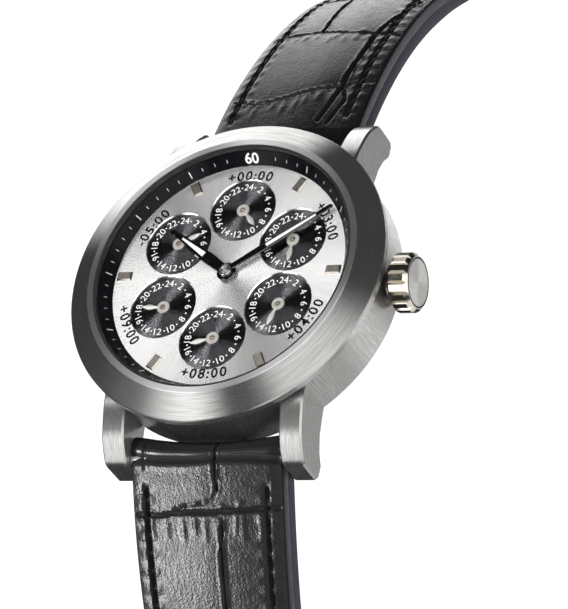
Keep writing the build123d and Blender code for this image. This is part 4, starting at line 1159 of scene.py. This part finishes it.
def print_subdials():
    """Twenty-four hour numerals and dots on each sub-dial, and its ringed finish."""
    for name in zone_hours:
        x, y, top, radius = subdial_place(name)
        parts = Parts()
        ring_r = radius * numeral_ring_share
        for hour in range(1, hours_on_subdial + 1):
            angle = radians(90.0 - hour * 360.0 / hours_on_subdial)
            centre = (x + ring_r * cos(angle), y + ring_r * sin(angle))
            if hour % 2:
                ring = [(*point, top + ink) for point in circle(numeral_dot_r, 12, centre)]
                parts.add(ring, [tuple(range(12))])
            else:
                turn = angle + pi / 2 if 6 < hour < 18 else angle - pi / 2
                print_text(parts, str(hour), centre, numeral_height, turn, top + ink, numeral_weight)
        parts.piece("numerals_" + name, "case", "subdial_black", "white_ink")
        rings = make_material("subdial_" + name, ringed_black((x / mm, y / mm)))
        frame["nodes"]["subdial_" + name].data.materials[0] = rings


def print_dial():
    """Offsets of the six zones from the first, round the dial's edge."""
    parts = Parts()
    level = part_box("dial")[1].z + ink
    for name, text in zone_offsets.items():
        clockwise = 30.0 * int(name) % 360.0
        print_round(parts, text, clockwise, level, clockwise < 90.0 or clockwise > 270.0)
    parts.piece("zone_offsets", "case", "subdial_black", "black_ink")


def print_flange():
    """Minute track on the sloping flange, with a plain number in the gap at its top."""
    low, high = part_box("dial_flange")
    slope = Vector((flange_outer_r - flange_inner_r, high.z - low.z))
    run, rise = slope.x / slope.length, slope.y / slope.length
    track = tick_ring_share * slope.length
    parts = Parts()

    def spot(reach, across, turn):
        radius = flange_inner_r + run * reach - rise * flange_ink
        level = low.z + rise * reach + run * flange_ink
        return (radius * cos(turn) - across * sin(turn), radius * sin(turn) + across * cos(turn), level)

    for minute in range(2, 59):
        turn = radians(90.0 - 6.0 * minute)
        tall, wide = (tick_short, tick_thin) if minute % 5 else (tick_long, tick_width)
        corners = [(-tall / 2, -wide / 2), (tall / 2, -wide / 2), (tall / 2, wide / 2), (-tall / 2, wide / 2)]
        parts.add([spot(track + reach, across, turn) for reach, across in corners], [(0, 1, 2, 3)])
    points, faces = glyph("60", letter_weight)
    flat = (points - (points.min(0) + points.max(0)) / 2) * glyph_scale(top_mark_height)
    parts.add([spot(track + b, -a, pi / 2) for a, b in flat], faces)
    parts.piece("minute_track", "case", "flange_black", "white_ink")


# Hands
def inset(outline, amount):
    """Outline, which runs anticlockwise, moved inward."""
    corners = [Vector(point) for point in outline]
    moved = []
    for index, corner in enumerate(corners):
        before = corner - corners[index - 1]
        after = corners[(index + 1) % len(corners)] - corner
        side_before = Vector((-before.y, before.x)).normalized()
        side_after = Vector((-after.y, after.x)).normalized()
        way = (side_before + side_after).normalized()
        moved.append(tuple(corner + way * (amount / max(way.dot(side_after), 0.5))))
    return moved


def bevelled_plate(outline, low, high, bevel, place):
    """Flat plate with bevelled top edges; place turns its points into the frame."""
    count = len(outline)
    points = [place(x, y, low) for x, y in outline]
    points += [place(x, y, high - bevel * 0.8) for x, y in outline]
    points += [place(x, y, high) for x, y in inset(outline, bevel)]
    parts = Parts()
    ends = [tuple(reversed(range(count))), tuple(range(2 * count, 3 * count))]
    parts.add(points, ends + grid(3, count))
    return parts


def hand_outline(length, neck, wide, tip, wide_share, hub_r):
    """Blade with a round hub and a round tip, pointing along +X, anticlockwise."""
    start = asin(neck / 2 / hub_r)
    hub_steps, tip_steps = 40, 8
    hub = [start + (2 * pi - 2 * start) * index / hub_steps for index in range(hub_steps + 1)]
    points = [(hub_r * cos(angle), hub_r * sin(angle)) for angle in hub]
    shoulder = length - tip / 2
    points.append((length * wide_share, -wide / 2))
    for index in range(tip_steps + 1):
        angle = -pi / 2 + pi * index / tip_steps
        points.append((shoulder + tip / 2 * cos(angle), tip / 2 * sin(angle)))
    points.append((length * wide_share, wide / 2))
    return points


def pointing(centre, clockwise):
    """Function that turns points along +X into the frame, pointing clockwise from twelve."""
    turn = radians(90.0 - clockwise)

    def place(x, y, z):
        return (centre[0] + x * cos(turn) - y * sin(turn), centre[1] + x * sin(turn) + y * cos(turn), z)
    return place


def main_hand(name, body, clockwise, sizes, filling):
    """Dark bevelled hand with a white filling let into its blade."""
    low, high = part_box(name)
    place = pointing((0.0, 0.0), clockwise)
    length, neck, wide, tip, wide_share, hub_r = sizes
    outline = hand_outline(length * mm, neck * mm, wide * mm, tip * mm, wide_share, hub_r * mm)
    made = bevelled_plate(outline, low.z, high.z, hand_bevel, place).piece(
        name + "_blade", body, "hand_dark", "hand_dark"
    )
    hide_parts(name)
    start, end, start_wide, end_wide = (size * mm for size in filling)
    outline = [(start, -start_wide / 2), (end, -end_wide / 2), (end, end_wide / 2), (start, start_wide / 2)]
    inlay = bevelled_plate(outline, high.z - filling_sunk, high.z + filling_proud, filling_sunk, place)
    inlay.piece(name + "_filling", body, "hand_dark", "white_filling")


def turned_piece(name, body, slot, profile, centre, level, count, smooth_deg):
    """Bright turned piece at the hub of a hand."""
    parts = Parts()
    parts.turn(profile, centre, level, mm, count)
    parts.piece(name, body, slot, "bright_pin", smooth_deg)


def make_main_hands():
    """Hour and minute hands with the ring and pin at their hub."""
    hour_turn = (shown_hour + shown_minute / 60.0) * 30.0
    main_hand("hour_hand", "hour_arbor", hour_turn, hour_sizes, hour_filling)
    main_hand("minute_hand", "minute_arbor", shown_minute * 6.0, minute_sizes, minute_filling)
    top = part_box("minute_hand")[1].z
    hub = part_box("cannon_pinion")[1].z
    turned_piece("hub_collar", "minute_arbor", "hand_dark", hub_collar, (0.0, 0.0), top, 96, 30.0)
    turned_piece("hub_pin", "minute_arbor", "steel", hub_pin, (0.0, 0.0), hub, 64, 30.0)


def make_zone_hands():
    """Pale leaf hands with a ridge along the leaf, a ring hub and a bright pin."""
    for name, hour in zone_hours.items():
        x, y, _, _ = subdial_place(name)
        low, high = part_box("zone_hand_" + name)
        place = pointing((x, y), (hour + shown_minute / 60.0) * 360.0 / hours_on_subdial)
        thick = high.z - low.z
        shoulder = low.z + leaf_side_share * thick
        points = []
        for share, wide in zone_leaf:
            half, reach = wide * mm / 2, share * leaf_length
            crest = high.z - (leaf_root_drop if share == zone_leaf[0][0] else 0.0)
            section = ((-half, low.z), (-half, shoulder), (0.0, crest), (half, shoulder), (half, low.z))
            points += [place(reach, across, level) for across, level in section]
        ends = [(4, 3, 2, 1, 0), tuple(range(len(points) - 5, len(points)))]
        parts = Parts()
        parts.add(points, grid(len(zone_leaf), 5, flip=True) + ends)
        parts.turn(zone_ring, (x, y), low.z, thick, 48)
        made = parts.piece("zone_hand_" + name + "_leaf", "zone_" + name, "zone_hand_pale", "zone_hand_pale")
        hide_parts("zone_hand_" + name)
        turned_piece("zone_pin_" + name, "zone_" + name, "steel", zone_pin, (x, y), high.z, 32, 35.0)


# Surroundings
def make_camera():
    """Camera at the photograph's place, worked out from its turn, height and roll."""
    flat = cos(photo_elevation)
    back = Vector((sin(photo_azimuth) * flat, -cos(photo_azimuth) * flat, sin(photo_elevation)))
    level = Vector((cos(photo_azimuth), sin(photo_azimuth), 0.0))
    over = back.cross(level)
    right = cos(photo_roll) * level + sin(photo_roll) * over
    up = -sin(photo_roll) * level + cos(photo_roll) * over
    place = photo_distance * back + photo_shift_right * right + photo_shift_up * up + photo_aim
    data = bpy.data.cameras.new("photo_camera")
    data.lens = photo_lens
    data.sensor_width = photo_sensor
    data.clip_start = 10 * mm
    data.clip_end = 20.0
    camera = link("photo_camera", data)
    camera.matrix_world = Matrix.Translation(place) @ Matrix((right, up, back)).transposed().to_4x4()
    bpy.context.scene.camera = camera


def panel(tree, turn, height, from_turn, to_turn, from_height, to_height, soft, strength):
    """Brightness of one light panel between two compass turns and two heights, in degrees."""
    return tree.times(
        tree.past(turn, from_turn, soft), tree.past(turn, to_turn, -soft),
        tree.past(height, from_height, soft), tree.past(height, to_height, -soft), strength,
    )


def make_world():
    """Dark studio with a few soft light panels round the watch."""
    world = bpy.data.worlds.new("studio")
    bpy.context.scene.world = world
    world.use_nodes = True
    tree = Tree(world.node_tree)
    direction = tree.vector("NORMALIZE", tree.add("TexCoord", output="Generated"))
    middle = radians(seam_turn + 180.0)
    ahead = tree.vector("DOT_PRODUCT", direction, (cos(middle), sin(middle), 0.0))
    aside = tree.vector("DOT_PRODUCT", direction, (-sin(middle), cos(middle), 0.0))
    turn = tree.plus(tree.times(tree.math("ARCTAN2", aside, ahead), 180.0 / pi), seam_turn + 180.0)
    _, _, up = tree.parts(direction)
    height = tree.times(tree.math("ARCSINE", up), 180.0 / pi)
    total = room_light
    for numbers in panels:
        total = tree.plus(panel(tree, turn, height, *numbers), total)
    tree.show(tree.add("Background", {"Color": (1.0, 1.0, 1.0, 1.0), "Strength": total}), "OutputWorld")


def make_sun(name, energy, size):
    """Sun lamp of an angular size in degrees."""
    light = bpy.data.lights.new(name, "SUN")
    light.energy = energy
    light.angle = radians(size)
    return link(name, light)


def make_fill():
    """Wide soft light from above that brightens print and paint, left out of the metal's reflections."""
    make_sun("fill", fill_strength, fill_softness).visible_glossy = False


def make_lamp(name, normal, energy, size, receivers):
    """Lamp that a surface facing along `normal` mirrors into the camera, shining on these pieces only."""
    facing = Vector(normal).normalized()
    to_camera = (bpy.context.scene.camera.location - photo_aim).normalized()
    towards = 2.0 * facing.dot(to_camera) * facing - to_camera
    made = make_sun(name, energy, size)
    made.rotation_euler = towards.to_track_quat("Z", "Y").to_euler()
    lit = bpy.data.collections.new(name)
    for piece in receivers:
        lit.objects.link(bpy.data.objects[piece])
    made.light_linking.receiver_collection = lit


def leaning(turn, lean):
    """Upward direction leaned towards a clockwise turn from twelve o'clock, both in degrees."""
    reach = tan(radians(lean))
    return (sin(radians(turn)) * reach, cos(radians(turn)) * reach, 1.0)


def make_lamps():
    """Lamps for the brushed dial, the ringed sub-dials and the leather."""
    dial = ("dial", "hour_markers")
    subdials = ["subdial_" + name for name in zone_hours]
    straps = ("strap_upper_skin", "strap_lower_skin")
    for name, normal, energy, size, receivers in (
        ("dial_lamp_a", leaning(165.0, 6.0), 0.12, 18.0, dial),
        ("dial_lamp_b", leaning(285.0, 7.5), 0.1, 18.0, dial),
        ("subdial_lamp_a", leaning(202.0, 17.0), 1.3, 22.0, subdials),
        ("subdial_lamp_b", leaning(315.0, 14.0), 0.4, 22.0, subdials),
        ("strap_lamp_a", (-0.15, -0.56, 0.82), 5.5, 16.0, straps),
        ("strap_lamp_b", (-0.15, -0.67, 0.74), 5.5, 16.0, straps),
    ):
        make_lamp(name, normal, energy, size, receivers)


def make_floor():
    """Plain white floor, bright enough to read as paper, and lower than either strap half reaches."""
    level = bar_z - max(upper_length, lower_length) - floor_room
    ways = ((-1, -1), (1, -1), (1, 1), (-1, 1))
    floor = make_mesh("floor", [(x * floor_reach, y * floor_reach, level) for x, y in ways], [(0, 1, 2, 3)])
    floor.data.materials.append(make_material("floor_white", lambda tree: {
        "Base Color": (0.42, 0.42, 0.42, 1.0), "Roughness": 0.9,
        "Emission Color": (1.0, 1.0, 1.0, 1.0), "Emission Strength": floor_glow,
    }))
    floor.visible_glossy = False


dress_frame()
make_strap()
print_subdials()
print_dial()
print_flange()
make_main_hands()
make_zone_hands()
make_camera()
make_world()
make_fill()
make_lamps()
make_floor()
bpy.context.scene.view_settings.view_transform = "Standard"
